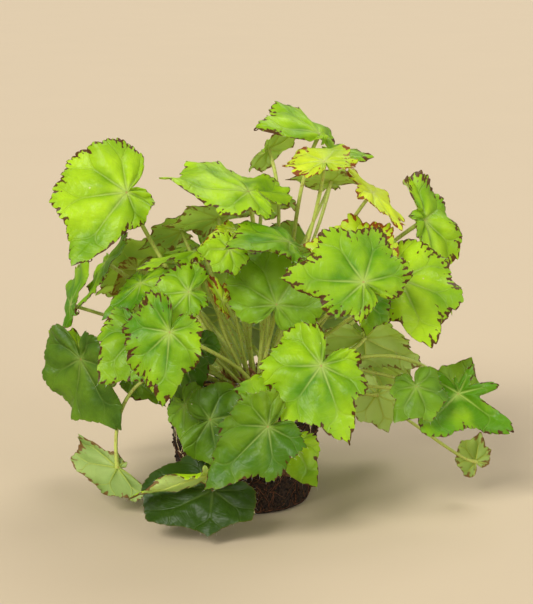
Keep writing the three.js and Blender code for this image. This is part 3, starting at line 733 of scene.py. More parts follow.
def add_ribs(shell, blade, settings, tone_and_painted_light):
    """The main veins stand out of the lower face as tapering ribs."""
    base = settings.rib / MM * (0.5 + blade.length / 160)
    for phase, share, size in vein_lines(blade):
        radii = base * size * (1 - RIB_TAPER * share)
        below = -(half_thickness(settings, share) + RIB_BELOW * radii)
        points, triangles = tube(blade.point(phase, share, below), radii, RIB_SIDES, blade.z)
        spread = np.append(np.repeat(share, RIB_SIDES), (share[0], share[-1]))
        shell.add(points, triangles, 1, look=look_marks(spread, tone_and_painted_light), **UNMARKED)


# -------------------------------------------------------------------- stalks


def crown_branch(angle):
    return np.cos(CROWN_BRANCHES * angle + 1)


def crown_outline(angle):
    return CROWN_RADIUS + CROWN_LOBE * crown_branch(angle)


def crown_top(angle, radius):
    """Height of the rhizome's knobbly top."""
    share = np.minimum(radius / crown_outline(angle), 1)
    knobs = np.sin(3 * angle + radius / 3) * np.cos(5 * angle - radius / 4)
    dome = CROWN_HEIGHT * np.sqrt(1 - CROWN_STEEP * share**2)
    return BALL_HEIGHT + CROWN_RIM + dome + CROWN_KNOB * knobs * share


def stalk_roots():
    """Exit and direction of each stalk: the most upright leaves grow from the inner rings."""
    ats = np.array([row["at"] for row in LEAVES], float)
    away = ats[:, :2] - CROWN_CENTRE
    bearings = np.arctan2(away[:, 1], away[:, 0])
    leans = np.arctan2(np.hypot(*away.T), ats[:, 2] - BALL_HEIGHT)
    order = np.argsort(leans, kind="stable")
    roots = [None] * len(LEAVES)
    first = 0
    for radius, count, lean in RINGS:
        members = sorted(order[first:first + count], key=lambda i: bearings[i])
        step = 2 * math.pi / len(members)
        turn = sum(bearings[i] - k * step for k, i in enumerate(members)) / len(members)
        tilt = math.radians(lean)
        for k, i in enumerate(members):
            angle = lerp(bearings[i], turn + k * step, SLOT_SHARE)
            flat = np.array((math.cos(angle), math.sin(angle)))
            exit_point = np.append(CROWN_CENTRE + radius * flat, crown_top(angle, radius))
            direction = np.append(math.sin(tilt) * flat, math.cos(tilt))
            roots[i] = (exit_point, direction)
        first += count
    return roots


def stalk_radius(row):
    """A longer blade has a stouter stalk."""
    length = math.dist(row["at"], row["tip"])
    return min(max(1.2 + length / 110, STALK_THIN), STALK_STOUT)


def stalk_path(blade, root):
    """Points along a stalk, from inside the rhizome to the blade."""
    exit_point, direction = root
    start = exit_point - STALK_DEPTH * direction
    reach = np.linalg.norm(blade.at - start)
    first = start + STALK_LEAVE * reach * direction + (0, 0, blade.row.get("rise", 0))
    arrival = lerp(unit(blade.at - start), blade.z, STALK_SQUARE)
    second = blade.at - STALK_ARRIVE * reach * arrival + blade.row.get("bow", (0, 0, 0))
    t = np.linspace(0, 1, max(12, round(reach / STALK_STEP)))[:, None]
    shares = ((1 - t) ** 3, 3 * t * (1 - t) ** 2, 3 * t**2 * (1 - t), t**3)
    return sum(share * point for share, point in zip(shares, (start, first, second, blade.at)))


def add_stalk(shell, blade, path):
    """A stalk, stouter at its foot and flared where it meets the blade."""
    gone = np.append(0, np.cumsum(np.linalg.norm(np.diff(path, axis=0), axis=1)))
    left = gone[-1] - gone
    foot = STALK_FOOT * np.exp(-gone / FOOT_LENGTH)
    flare = STALK_FLARE * np.exp(-left / FLARE_LENGTH)
    waver = STALK_WAVER * np.sin(gone / 7 + blade.seed)
    radii = stalk_radius(blade.row) * (STALK_BODY + foot + flare + waver)
    points, triangles = tube(path, radii, STALK_SIDES)
    # the flare stays under the blade
    height = (points - blade.at) @ blade.z
    near = np.linalg.norm(points - blade.at, axis=1) < 3 * radii.max()
    over = np.where(near, np.maximum(height, 0), 0)
    points = points - over[:, None] * blade.z
    shell.add(points, triangles, 2, look=(0, 0, 0), **UNMARKED)
    return points, triangles


# ------------------------------------------------- rhizome and root ball


def rings_round(centre, radii, heights, sides, relief=None):
    """Rings of points round an axis; relief moves a point out by its angle and height."""
    angle = angles(sides)
    radii, z = (
        np.broadcast_to(np.asarray(values, float).reshape(len(heights), -1), (len(heights), sides))
        for values in (radii, heights)
    )
    if relief is not None:
        radii = radii + relief(angle, z)
    return np.stack([centre[0] + radii * np.cos(angle), centre[1] + radii * np.sin(angle), z], -1)


def closed_mesh(name, rings, *ends):
    """A mesh over rings of points, closed by a point at each end."""
    shell = Shell()
    shell.add(np.concatenate([rings.reshape(-1, 3), ends]), loft(rings), 0)
    return shell.mesh(name, [])


def ball_relief(angle, z):
    """Bundles of matted roots that run down the side of the ball, which leans out a little."""
    bundles = np.sin(11 * angle + z / 9) + 0.6 * np.sin(17 * angle - z / 6)
    lean = 0.5 * np.sin(5 * angle)
    return BALL_RELIEF * (bundles + lean) * smoothstep(z, 0, 2 * BALL_EDGE)


def root_ball_mesh():
    """The plain form of the root ball, dense enough to be roughened."""
    rim = BALL_HEIGHT - BALL_SHOULDER
    corner = np.linspace(0, 1, 4)[1:-1]
    side = [(radius, 0) for radius in np.linspace(8, BALL_FLAT, 6)]
    side += [(lerp(BALL_FLAT, BALL_BASE, c**0.5), BALL_EDGE * c**1.6) for c in corner]
    side += [(lerp(BALL_BASE, BALL_TOP, s), lerp(BALL_EDGE, rim, s)) for s in np.linspace(0, 1, 52)]
    for a in np.radians((22, 45, 68, 90)):
        side.append((BALL_TOP - BALL_SHOULDER * (1 - math.cos(a)), rim + BALL_SHOULDER * math.sin(a)))
    radii, heights = zip(*side)
    rings = rings_round((0, 0), radii, heights, BALL_SIDES, ball_relief)
    seat = crown_outline(angles(BALL_SIDES)) + CROWN_GAP
    hole = rings_round(CROWN_CENTRE, [seat], [BALL_HEIGHT], BALL_SIDES)[0]
    top = [lerp(rings[-1], hole, s) for s in np.linspace(0, 1, 9)[1:]]
    sunk = rings_round(CROWN_CENTRE, [seat, 0.5 * seat], [BALL_HEIGHT - CROWN_SUNK] * 2, BALL_SIDES)
    rings = np.concatenate([rings, top, sunk])
    return closed_mesh("root_ball_form", rings, (0, 0, 0), (*CROWN_CENTRE, BALL_HEIGHT - CROWN_SUNK))


def rhizome_mesh():
    """A low mound of creeping branches, ringed by the scars of fallen leaves."""
    angle = angles(CROWN_SIDES)
    bottom = BALL_HEIGHT - CROWN_SUNK + 0.5
    outline = crown_outline(angle)
    side = [(0.6, bottom), (1, bottom), (1, BALL_HEIGHT - 1), (1, BALL_HEIGHT + 0.8)]
    rings = [(share * outline, np.full(CROWN_SIDES, z)) for share, z in side]
    for share in np.linspace(0.985, 0.04, 30):
        ridge = CROWN_RIDGE * crown_branch(angle) * math.sin(math.pi * share)
        scars = CROWN_SCAR * abs(math.sin(share * 19)) * share
        rings.append((share * outline, crown_top(angle, share * outline) + ridge + scars))
    points = rings_round(CROWN_CENTRE, *zip(*rings), CROWN_SIDES)
    top = (*CROWN_CENTRE, float(crown_top(0.0, 0.0)))
    return closed_mesh("rhizome_form", points, (*CROWN_CENTRE, bottom), top)


# ----------------------------------------------------------- geometry nodes


def new_tree(name, **inputs):
    """A geometry tree with one geometry in and out, and a named input for each size."""
    tree = bpy.data.node_groups.new(name, "GeometryNodeTree")
    tree.interface.new_socket("Geometry", in_out="INPUT", socket_type="NodeSocketGeometry")
    tree.interface.new_socket("Geometry", in_out="OUTPUT", socket_type="NodeSocketGeometry")
    for label, value in inputs.items():
        kind = "NodeSocketInt" if isinstance(value, int) else "NodeSocketFloat"
        socket = tree.interface.new_socket(label, in_out="INPUT", socket_type=kind)
        socket.default_value = value
    return tree, tree.nodes.new("NodeGroupInput").outputs


def close_tree(tree, geometry, material):
    """Ends a tree with real geometry in its material."""
    real = add_node(tree, "GeometryNodeRealizeInstances", {0: geometry})
    smooth = add_node(tree, "GeometryNodeSetShadeSmooth", {0: real})
    done = add_node(tree, "GeometryNodeSetMaterial", {0: smooth, "Material": material})
    add_node(tree, "NodeGroupOutput", {0: done})
    return tree


def grow(name, base, tree, **values):
    """Runs a tree on a base mesh and keeps the result as a plain mesh."""
    piece = new_object(name, base)
    modifier = piece.modifiers.new(name, "NODES")
    modifier.node_group = tree
    for item in tree.interface.items_tree:
        if item.in_out == "INPUT" and item.name in values:
            modifier[item.identifier] = values[item.name]
    graph = bpy.context.evaluated_depsgraph_get()
    mesh = bpy.data.meshes.new_from_object(piece.evaluated_get(graph))
    material = next(material for material in mesh.materials if material)
    mesh.materials.clear()
    mesh.materials.append(material)
    mesh.polygons.foreach_set("material_index", np.zeros(len(mesh.polygons), np.int32))
    piece.modifiers.remove(modifier)
    piece.data = mesh
    mesh.name = name
    bpy.data.meshes.remove(base)
    bpy.data.node_groups.remove(tree)
    if not mesh.polygons:
        raise RuntimeError(f"{name} came out empty")
    return piece


def point_cloud(name, points, directions):
    """A mesh of loose points, each with a direction called out."""
    mesh = bpy.data.meshes.new(name)
    mesh.from_pydata(np.asarray(points) * MM, [], [])
    attribute = mesh.attributes.new("out", "FLOAT_VECTOR", "POINT")
    attribute.data.foreach_set("vector", np.asarray(directions, np.float32).ravel())
    return mesh


def aimed_out(tree):
    """The turn of each point of such a cloud, from +Z to its direction."""
    out = add_node(tree, "GeometryNodeInputNamedAttribute", {"Name": "out"}, data_type="FLOAT_VECTOR")
    return add_node(tree, "FunctionNodeAlignRotationToVector", {"Vector": out}, axis="Z")


def roughen_tree(material):
    """Lumps and grain along a surface, left out near the flat that it stands on."""
    tree, given = new_tree("Roughen", Lump_Size=0.008, Lump_Height=0.001, Grain_Size=0.002,
                           Grain_Height=0.0005, Flat_Below=0.0, Clear=0.004, Seed=1)
    position = add_node(tree, "GeometryNodeInputPosition")
    move = 0.0
    for size, height in (("Lump_Size", "Lump_Height"), ("Grain_Size", "Grain_Height")):
        scale = add_node(tree, "ShaderNodeMath", {0: 1.0, 1: given[size]}, operation="DIVIDE")
        pattern = add_node(tree, "ShaderNodeTexNoise", {
            "Vector": position, "W": given["Seed"], "Scale": scale, "Detail": 2.0, "Roughness": 0.6,
        }, noise_dimensions="4D")
        both_ways = add_node(tree, "ShaderNodeMath", {
            0: pattern, 1: 2.0, 2: -1.0,
        }, operation="MULTIPLY_ADD")
        move = add_node(tree, "ShaderNodeMath", {
            0: both_ways, 1: given[height], 2: move,
        }, operation="MULTIPLY_ADD")
    parts = add_node(tree, "ShaderNodeSeparateXYZ", {0: position})
    top = add_node(tree, "ShaderNodeMath", {0: given["Flat_Below"], 1: given["Clear"]}, operation="ADD")
    fade = add_node(tree, "ShaderNodeMapRange", {
        "Value": parts.outputs["Z"], "From Min": given["Flat_Below"], "From Max": top,
    }, interpolation_type="SMOOTHSTEP")
    amount = add_node(tree, "ShaderNodeMath", {0: move, 1: fade}, operation="MULTIPLY")
    normal = add_node(tree, "GeometryNodeInputNormal")
    offset = add_node(tree, "ShaderNodeVectorMath", {0: normal, "Scale": amount}, operation="SCALE")
    moved = add_node(tree, "GeometryNodeSetPosition", {0: given["Geometry"], "Offset": offset})
    return close_tree(tree, moved, material)


def hair_tree(material, scattered):
    """Thin pointed hairs that lean their own ways, scattered on a surface or one on each point."""
    tree, given = new_tree("Hairs", Density=1000.0, Length=0.002, Thickness=0.0001, Lean=0.6,
                           Shortest=0.5, Longest=1.25, Seed=1)
    if scattered:
        spots = add_node(tree, "GeometryNodeDistributePointsOnFaces", {
            "Mesh": given["Geometry"], "Density": given["Density"], "Seed": given["Seed"],
        })
        upright = spots.outputs["Rotation"]
    else:
        spots = given["Geometry"]
        upright = aimed_out(tree)
    hair = add_node(tree, "GeometryNodeMeshCone", {
        "Vertices": 3, "Radius Top": 0.0, "Radius Bottom": given["Thickness"], "Depth": given["Length"],
    }, fill_type="NGON")
    way = add_node(tree, "FunctionNodeRandomValue", {
        0: (-1.0, -1.0, -1.0), 1: (1.0, 1.0, 1.0), "Seed": given["Seed"],
    }, data_type="FLOAT_VECTOR")
    lean = add_node(tree, "ShaderNodeVectorMath", {0: way, "Scale": given["Lean"]}, operation="SCALE")
    turned = add_node(tree, "FunctionNodeRotateRotation", {
        "Rotation": upright, "Rotate By": lean,
    }, rotation_space="LOCAL")
    size = add_node(tree, "FunctionNodeRandomValue", {
        2: given["Shortest"], 3: given["Longest"], "Seed": given["Seed"],
    })
    placed = add_node(tree, "GeometryNodeInstanceOnPoints", {
        "Points": spots, "Instance": hair, "Rotation": turned, "Scale": size,
    })
    return close_tree(tree, placed, material)


def crumb_tree(material):
    """Rough crumbs half sunk in a surface."""
    tree, given = new_tree("Crumbs", Density=1000.0, Size=0.002, Seed=1)
    spots = add_node(tree, "GeometryNodeDistributePointsOnFaces", {
        "Mesh": given["Geometry"], "Density": given["Density"], "Seed": given["Seed"],
    })
    ball = add_node(tree, "GeometryNodeMeshIcoSphere", {"Radius": given["Size"], "Subdivisions": 2})
    position = add_node(tree, "GeometryNodeInputPosition")
    per_size = add_node(tree, "ShaderNodeMath", {0: 0.9, 1: given["Size"]}, operation="DIVIDE")
    pattern = add_node(tree, "ShaderNodeTexNoise", {
        "Vector": position, "Scale": per_size, "Detail": 1.0,
    }, noise_dimensions="3D")
    away = add_node(tree, "ShaderNodeVectorMath", {
        0: pattern.outputs["Color"], 1: (0.5, 0.5, 0.5),
    }, operation="SUBTRACT")
    reach = add_node(tree, "ShaderNodeMath", {0: given["Size"], 1: 1.6}, operation="MULTIPLY")
    offset = add_node(tree, "ShaderNodeVectorMath", {0: away, "Scale": reach}, operation="SCALE")
    crumb = add_node(tree, "GeometryNodeSetPosition", {0: ball, "Offset": offset})
    turn = add_node(tree, "FunctionNodeRandomValue", {
        0: (0.0, 0.0, 0.0), 1: (6.28, 6.28, 6.28), "Seed": given["Seed"],
    }, data_type="FLOAT_VECTOR")
    size = add_node(tree, "FunctionNodeRandomValue", {
        0: (0.25, 0.25, 0.2), 1: (1.0, 1.0, 0.7), "Seed": given["Seed"],
    }, data_type="FLOAT_VECTOR")
    placed = add_node(tree, "GeometryNodeInstanceOnPoints", {
        "Points": spots, "Instance": crumb, "Rotation": turn, "Scale": size,
    })
    return close_tree(tree, placed, material)


def root_tree(material):
    """Roots that run down over a surface and hold to it."""
    tree, given = new_tree("Roots", Density=500.0, Length=0.03, Thickness=0.0003, Wander=0.006,
                           Spread=0.7, Lift=0.0003, Steps=10, Sides=4, Seed=1)
    spots = add_node(tree, "GeometryNodeDistributePointsOnFaces", {
        "Mesh": given["Geometry"], "Density": given["Density"], "Seed": given["Seed"],
    })
    end = add_node(tree, "ShaderNodeCombineXYZ", {2: given["Length"]})
    line = add_node(tree, "GeometryNodeCurvePrimitiveLine", {"End": end})
    strand = add_node(tree, "GeometryNodeResampleCurve", {"Curve": line, "Count": given["Steps"]})
    back = add_node(tree, "ShaderNodeMath", {0: 0.0, 1: given["Spread"]}, operation="SUBTRACT")
    low = add_node(tree, "ShaderNodeCombineXYZ", {0: back, 1: back, 2: -1.0})
    high = add_node(tree, "ShaderNodeCombineXYZ", {0: given["Spread"], 1: given["Spread"], 2: -0.2})
    way = add_node(tree, "FunctionNodeRandomValue", {
        0: low, 1: high, "Seed": given["Seed"],
    }, data_type="FLOAT_VECTOR")
    aimed = add_node(tree, "FunctionNodeAlignRotationToVector", {"Vector": way}, axis="Z")
    size = add_node(tree, "FunctionNodeRandomValue", {2: 0.35, 3: 1.2, "Seed": given["Seed"]})
    laid = add_node(tree, "GeometryNodeInstanceOnPoints", {
        "Points": spots, "Instance": strand, "Rotation": aimed, "Scale": size,
    })
    real = add_node(tree, "GeometryNodeRealizeInstances", {0: laid})
    position = add_node(tree, "GeometryNodeInputPosition")
    # bends every 14 mm
    bends = add_node(tree, "ShaderNodeTexNoise", {"Vector": position, "Scale": 70.0, "Detail": 1.0})
    middle = add_node(tree, "ShaderNodeVectorMath", {
        0: bends.outputs["Color"], 1: (0.5, 0.5, 0.5),
    }, operation="SUBTRACT")
    wide = add_node(tree, "ShaderNodeMath", {0: given["Wander"], 1: 2.0}, operation="MULTIPLY")
    wander = add_node(tree, "ShaderNodeVectorMath", {0: middle, "Scale": wide}, operation="SCALE")
    loose = add_node(tree, "GeometryNodeSetPosition", {0: real, "Offset": wander})
    nearest = add_node(tree, "GeometryNodeProximity", {0: given["Geometry"]}, target_element="FACES")
    level = add_node(tree, "ShaderNodeVectorMath", {
        0: nearest, 1: (1.0, 1.0, 0.0),
    }, operation="MULTIPLY")
    outward = add_node(tree, "ShaderNodeVectorMath", {0: level}, operation="NORMALIZE")
    lift = add_node(tree, "ShaderNodeVectorMath", {
        0: outward, "Scale": given["Lift"],
    }, operation="SCALE")
    held = add_node(tree, "GeometryNodeSetPosition", {0: loose, "Position": nearest, "Offset": lift})
    along = add_node(tree, "GeometryNodeSplineParameter")
    taper = add_node(tree, "ShaderNodeMapRange", {"Value": along, "To Min": 1.0, "To Max": 0.35})
    radius = add_node(tree, "ShaderNodeMath", {0: taper, 1: given["Thickness"]}, operation="MULTIPLY")
    circle = add_node(tree, "GeometryNodeCurvePrimitiveCircle", {0: given["Sides"], "Radius": 1.0})
    roots = add_node(tree, "GeometryNodeCurveToMesh", {
        "Curve": held, "Profile Curve": circle, "Scale": radius, "Fill Caps": True,
    })
    return close_tree(tree, roots, material)


def scale_tree(material):
    """A small papery scale on each point, pointed and hollow like a boat."""
    tree, given = new_tree("Scales", Length=0.008, Width=0.004, Thickness=0.0003, Seed=1)
    sheet = add_node(tree, "GeometryNodeMeshGrid", {
        "Size X": given["Width"], "Size Y": given["Length"], "Vertices X": 5, "Vertices Y": 7,
    })
    half = add_node(tree, "ShaderNodeMath", {0: given["Length"], 1: 0.5}, operation="MULTIPLY")
    up = add_node(tree, "ShaderNodeCombineXYZ", {1: half})
    footed = add_node(tree, "GeometryNodeSetPosition", {0: sheet, "Offset": up})
    position = add_node(tree, "GeometryNodeInputPosition")
    parts = add_node(tree, "ShaderNodeSeparateXYZ", {0: position})
    share = add_node(tree, "ShaderNodeMath", {
        0: parts.outputs[1], 1: given["Length"],
    }, operation="DIVIDE")
    past = add_node(tree, "ShaderNodeMath", {0: share, 1: 2.2}, operation="POWER")
    narrow = add_node(tree, "ShaderNodeMath", {0: 1.02, 1: past}, operation="SUBTRACT")
    across = add_node(tree, "ShaderNodeMath", {0: parts.outputs[0], 1: narrow}, operation="MULTIPLY")
    rate = add_node(tree, "ShaderNodeMath", {0: across, 1: given["Width"]}, operation="DIVIDE")
    square = add_node(tree, "ShaderNodeMath", {0: rate, 1: rate}, operation="MULTIPLY")
    hollow = add_node(tree, "ShaderNodeMath", {0: square, 1: given["Width"]}, operation="MULTIPLY")
    droop = add_node(tree, "ShaderNodeMath", {0: share, 1: share}, operation="MULTIPLY")
    fall = add_node(tree, "ShaderNodeMath", {0: droop, 1: given["Width"]}, operation="MULTIPLY")
    rise = add_node(tree, "ShaderNodeMath", {0: hollow, 1: fall}, operation="SUBTRACT")
    shape = add_node(tree, "ShaderNodeCombineXYZ", {0: across, 1: rise, 2: parts.outputs[1]})
    formed = add_node(tree, "GeometryNodeSetPosition", {0: footed, "Position": shape})
    thick = add_node(tree, "GeometryNodeExtrudeMesh", {
        "Mesh": formed, "Offset Scale": given["Thickness"], "Individual": False,
    })
    turned_over = add_node(tree, "GeometryNodeFlipFaces", {0: formed})
    closed = add_node(tree, "GeometryNodeJoinGeometry")
    tree.links.new(turned_over.outputs[0], closed.inputs[0])
    tree.links.new(thick.outputs[0], closed.inputs[0])
    welded = add_node(tree, "GeometryNodeMergeByDistance", {0: closed, "Distance": 0.00001})
    turn = add_node(tree, "FunctionNodeRandomValue", {
        0: (-0.2, -0.2, -3.1), 1: (0.2, 0.2, 3.1), "Seed": given["Seed"],
    }, data_type="FLOAT_VECTOR")
    turned = add_node(tree, "FunctionNodeRotateRotation", {
        "Rotation": aimed_out(tree), "Rotate By": turn,
    }, rotation_space="LOCAL")
    size = add_node(tree, "FunctionNodeRandomValue", {2: 0.5, 3: 1.15, "Seed": given["Seed"]})
    placed = add_node(tree, "GeometryNodeInstanceOnPoints", {
        "Points": given["Geometry"], "Instance": welded, "Rotation": turned, "Scale": size,
    })
    return close_tree(tree, placed, material)


# ---------------------------------------------------------------- materials


def new_material(name):
    """A material with an empty node tree, and the place on the object that its patterns follow."""
    material = bpy.data.materials.new(name)
    material.use_nodes = True
    tree = material.node_tree
    tree.nodes.clear()
    return material, tree, add_node(tree, "ShaderNodeTexCoord").outputs["Object"]


def close_material(material, shader):
    """Ends a material in its shader."""
    add_node(material.node_tree, "ShaderNodeOutputMaterial", {"Surface": shader})
    return material


def read_marks(tree, name):
    """The three values of a mark that the mesh's points carry."""
    mark = add_node(tree, "ShaderNodeAttribute", attribute_name=name)
    return add_node(tree, "ShaderNodeSeparateXYZ", {0: mark.outputs["Vector"]}).outputs


def vein_pattern(tree, share):
    """Three masks from 0 to 1: the main veins with their forks, painted shade in the valleys beside
    them, and the fine veins.
    """
    phase, fork, sector = read_marks(tree, "vein")
    away = add_node(tree, "ShaderNodeMath", {0: phase, 1: 0.5}, operation="PINGPONG")
    off = add_node(tree, "ShaderNodeMath", {0: away, 1: fork}, operation="SUBTRACT")
    size = add_node(tree, "ShaderNodeMath", {0: off}, operation="ABSOLUTE")
    distance = add_node(tree, "ShaderNodeMath", {0: size, 1: sector}, operation="MULTIPLY")
    # a main vein fades over 1.9 mm at the stalk and 0.7 mm near the margin
    width = add_node(tree, "ShaderNodeMapRange", {"Value": share, "To Min": 1.9, "To Max": 0.7})
    main = add_node(tree, "ShaderNodeMapRange", {
        "Value": distance, "From Max": width, "To Min": 1.0, "To Max": 0.0,
    }, interpolation_type="SMOOTHERSTEP")
    # painted shade in the valleys beside the main veins, deepest at the stalk and gone at the margin
    beside = add_node(tree, "ShaderNodeMapRange", {
        "Value": size, "From Max": 0.32, "To Min": 1.0, "To Max": 0.0,
    })
    inner = add_node(tree, "ShaderNodeMath", {0: 1.0, 1: share}, operation="SUBTRACT")
    painted_valley_shade = add_node(tree, "ShaderNodeMath", {0: beside, 1: inner}, operation="MULTIPLY")
    # side veins leave a main vein every tenth of the way out and slant to the margin
    ahead = add_node(tree, "ShaderNodeMath", {0: share, 1: 10.0}, operation="MULTIPLY")
    slant = add_node(tree, "ShaderNodeMath", {0: away, 1: -7.0, 2: ahead}, operation="MULTIPLY_ADD")
    line = add_node(tree, "ShaderNodeMath", {0: slant, 1: 0.5}, operation="PINGPONG")
    fine = add_node(tree, "ShaderNodeMapRange", {
        "Value": line, "From Max": 0.16, "To Min": 1.0, "To Max": 0.0,
    }, interpolation_type="SMOOTHSTEP")
    return main, painted_valley_shade, fine


def blotch_pattern(tree, where):
    """Wedges that run in from the gaps between the teeth, ragged at their sides."""
    tooth, from_edge, reach = read_marks(tree, "edge")
    from_tooth = add_node(tree, "ShaderNodeMath", {0: tooth, 1: 0.5}, operation="PINGPONG")
    side = add_node(tree, "ShaderNodeMath", {0: 0.5, 1: from_tooth}, operation="SUBTRACT")
    within = add_node(tree, "ShaderNodeMath", {0: from_edge, 1: 0.35}, operation="ADD")
    inward = add_node(tree, "ShaderNodeMath", {0: within, 1: reach}, operation="DIVIDE")
    near = add_node(tree, "ShaderNodeMath", {0: side, 1: -1.3, 2: 1.0}, operation="MULTIPLY_ADD")
    left = add_node(tree, "ShaderNodeMath", {0: near, 1: inward}, operation="SUBTRACT")
    # ragged patches of about 4 mm with tatters of 1 mm
    rag = add_node(tree, "ShaderNodeTexNoise", {"Vector": where, "Scale": 260.0, "Detail": 3.0})
    patch = add_node(tree, "ShaderNodeMath", {0: rag, 1: 3.2, 2: -1.6}, operation="MULTIPLY_ADD")
    score = add_node(tree, "ShaderNodeMath", {0: left, 1: patch}, operation="ADD")
    blotch = add_node(tree, "ShaderNodeMapRange", {"Value": score, "From Min": 0.3, "From Max": 0.42})
    line = add_node(tree, "ShaderNodeMapRange", {
        "Value": from_edge, "From Min": 0.1, "From Max": 0.7, "To Min": 1.0, "To Max": 0.0,
    })
    return blotch, line


def blade_material(name, light, deep, vein_colour, stain, stain_light, upper):
    """Begonia blade: a thin fleshy leaf, satin above and dull below, that light comes through.

    Broad mottling and paler veins break up the green, the gaps between the teeth are blotched,
    and the skin between the veins is slightly quilted. Painted shade deepens the valleys beside the
    main veins near the stalk and darkens a blade that lies in shade, and the tint is partly painted
    light and shade.
    """
    material, tree, where = new_material(name)
    share, tone_and_painted_light, painted_shade = read_marks(tree, "look")
    # mottling of about 35 mm
    mottle = add_node(tree, "ShaderNodeTexNoise", {"Vector": where, "Scale": 28.0, "Detail": 3.0})
    spread = add_node(tree, "ShaderNodeMapRange", {"Value": mottle, "From Min": 0.3, "From Max": 0.7})
    main, painted_valley_shade, fine = vein_pattern(tree, share)
    # painted shade: the mottled green is made deeper in the valleys beside the main veins
    mottle_and_painted_shade = add_node(tree, "ShaderNodeMath", {0: painted_valley_shade, 1: -0.7, 2: spread}, operation="MULTIPLY_ADD")
    # the tint is partly the blade's own tone and partly painted light and shade
    tone = add_node(tree, "ShaderNodeMath", {0: mottle_and_painted_shade, 1: tone_and_painted_light}, operation="ADD", use_clamp=True)
    fade = add_node(tree, "ShaderNodeMapRange", {
        "Value": share, "From Max": 0.7, "To Min": 0.7, "To Max": 0.1 if upper else 0.6,
    }, interpolation_type="SMOOTHSTEP" if upper else "LINEAR")
    pale = add_node(tree, "ShaderNodeMath", {0: main, 1: fade}, operation="MULTIPLY")
    faint = add_node(tree, "ShaderNodeMath", {0: fine, 1: 0.03 if upper else 0.12}, operation="MULTIPLY")
    veins = add_node(tree, "ShaderNodeMath", {0: pale, 1: faint}, operation="MAXIMUM")
    # the blade is paler round the stalk, with a pinkish spot of about 2 mm over it
    glow = add_node(tree, "ShaderNodeMapRange", {
        "Value": share, "From Max": 0.24, "To Min": 0.75, "To Max": 0.0,
    })
    shown = add_node(tree, "ShaderNodeMath", {0: veins, 1: glow}, operation="MAXIMUM")
    # painted shade: the pale veins and centre of a blade that lies in shade are faded
    vein_fade_in_painted_shade = add_node(tree, "ShaderNodeMath", {0: painted_shade, 1: -0.85, 2: 1.0}, operation="MULTIPLY_ADD")
    paler = add_node(tree, "ShaderNodeMath", {0: shown, 1: vein_fade_in_painted_shade}, operation="MULTIPLY")
    spot = add_node(tree, "ShaderNodeMapRange", {
        "Value": share, "From Min": 0.012, "From Max": 0.03, "To Min": 0.7, "To Max": 0.0,
    })
    # a pale scar of 1.5 mm here and there
    wound = add_node(tree, "ShaderNodeTexVoronoi", {"Vector": where, "Scale": 42.0})
    scar = add_node(tree, "ShaderNodeMapRange", {
        "Value": wound, "From Min": 0.022, "From Max": 0.036, "To Min": 0.8, "To Max": 0.0,
    })
    # specks of 1.1 mm in the blotches and along the edge
    speck = add_node(tree, "ShaderNodeTexNoise", {"Vector": where, "Scale": 900.0})
    blotch, line = blotch_pattern(tree, where)
    brown = add_node(tree, "ShaderNodeMix", {0: speck, 6: stain, 7: stain_light}, data_type="RGBA")
    weight = add_node(tree, "ShaderNodeMath", {0: line, 1: 0.35}, operation="MULTIPLY")
    worn = add_node(tree, "ShaderNodeMath", {0: weight, 1: speck}, operation="MULTIPLY")
    burnt = add_node(tree, "ShaderNodeMath", {
        0: blotch, 1: 0.96 if upper else 0.75,
    }, operation="MULTIPLY")
    # the green, then over it painted shade, the veins, the spot, the scars, the edge and the blotches
    colour = deep
    for amount, over in (
        (tone, light), (painted_shade, linear(0x2F4A0E)), (paler, vein_colour), (spot, linear(0xC08A5C)),
        (scar, linear(0xE4DCB4)), (worn, linear(0xB07A3A)), (burnt, brown),
    ):
        colour = add_node(tree, "ShaderNodeMix", {0: amount, 6: colour, 7: over}, data_type="RGBA")
    # skin cells, drawn at 1.2 mm so that they show
    cells = add_node(tree, "ShaderNodeTexVoronoi", {"Vector": where, "Scale": 800.0})
    sunk = add_node(tree, "ShaderNodeMath", {0: main, 1: -1.0}, operation="MULTIPLY")
    seams = add_node(tree, "ShaderNodeMath", {0: fine, 1: -0.18, 2: sunk}, operation="MULTIPLY_ADD")
    quilt = add_node(tree, "ShaderNodeMath", {0: cells, 1: 0.12, 2: seams}, operation="MULTIPLY_ADD")
    # puckers of about 6 mm on swells of about 14 mm
    pucker = add_node(tree, "ShaderNodeTexNoise", {"Vector": where, "Scale": 160.0, "Detail": 1.0})
    rough = add_node(tree, "ShaderNodeMath", {0: pucker, 1: 2.4, 2: quilt}, operation="MULTIPLY_ADD")
    swell = add_node(tree, "ShaderNodeTexNoise", {"Vector": where, "Scale": 70.0})
    height = add_node(tree, "ShaderNodeMath", {0: swell, 1: 6.0, 2: rough}, operation="MULTIPLY_ADD")
    bump = add_node(tree, "ShaderNodeBump", {
        "Strength": 0.55, "Distance": 0.0007 if upper else 0.0004, "Height": height,
    }, invert=not upper)
    skin = add_node(tree, "ShaderNodeBsdfPrincipled", {
        "Base Color": colour, "Roughness": 0.42 if upper else 0.62, "IOR": 1.42, "Normal": bump,
    })
    # light crosses both faces, so each one takes only the root of the blade's colour from it
    root = add_node(tree, "ShaderNodeGamma", {"Color": colour, "Gamma": 0.5})
    shine = add_node(tree, "ShaderNodeMix", {
        0: 1.0, 6: root, 7: (1.0, 1.0, 0.6, 1.0),
    }, data_type="RGBA", blend_type="MULTIPLY")
    through = add_node(tree, "ShaderNodeBsdfTranslucent", {"Color": shine, "Normal": bump})
    mixed = add_node(tree, "ShaderNodeMixShader", {0: 0.42 if upper else 0.55, 1: skin, 2: through})
    return close_material(material, mixed)


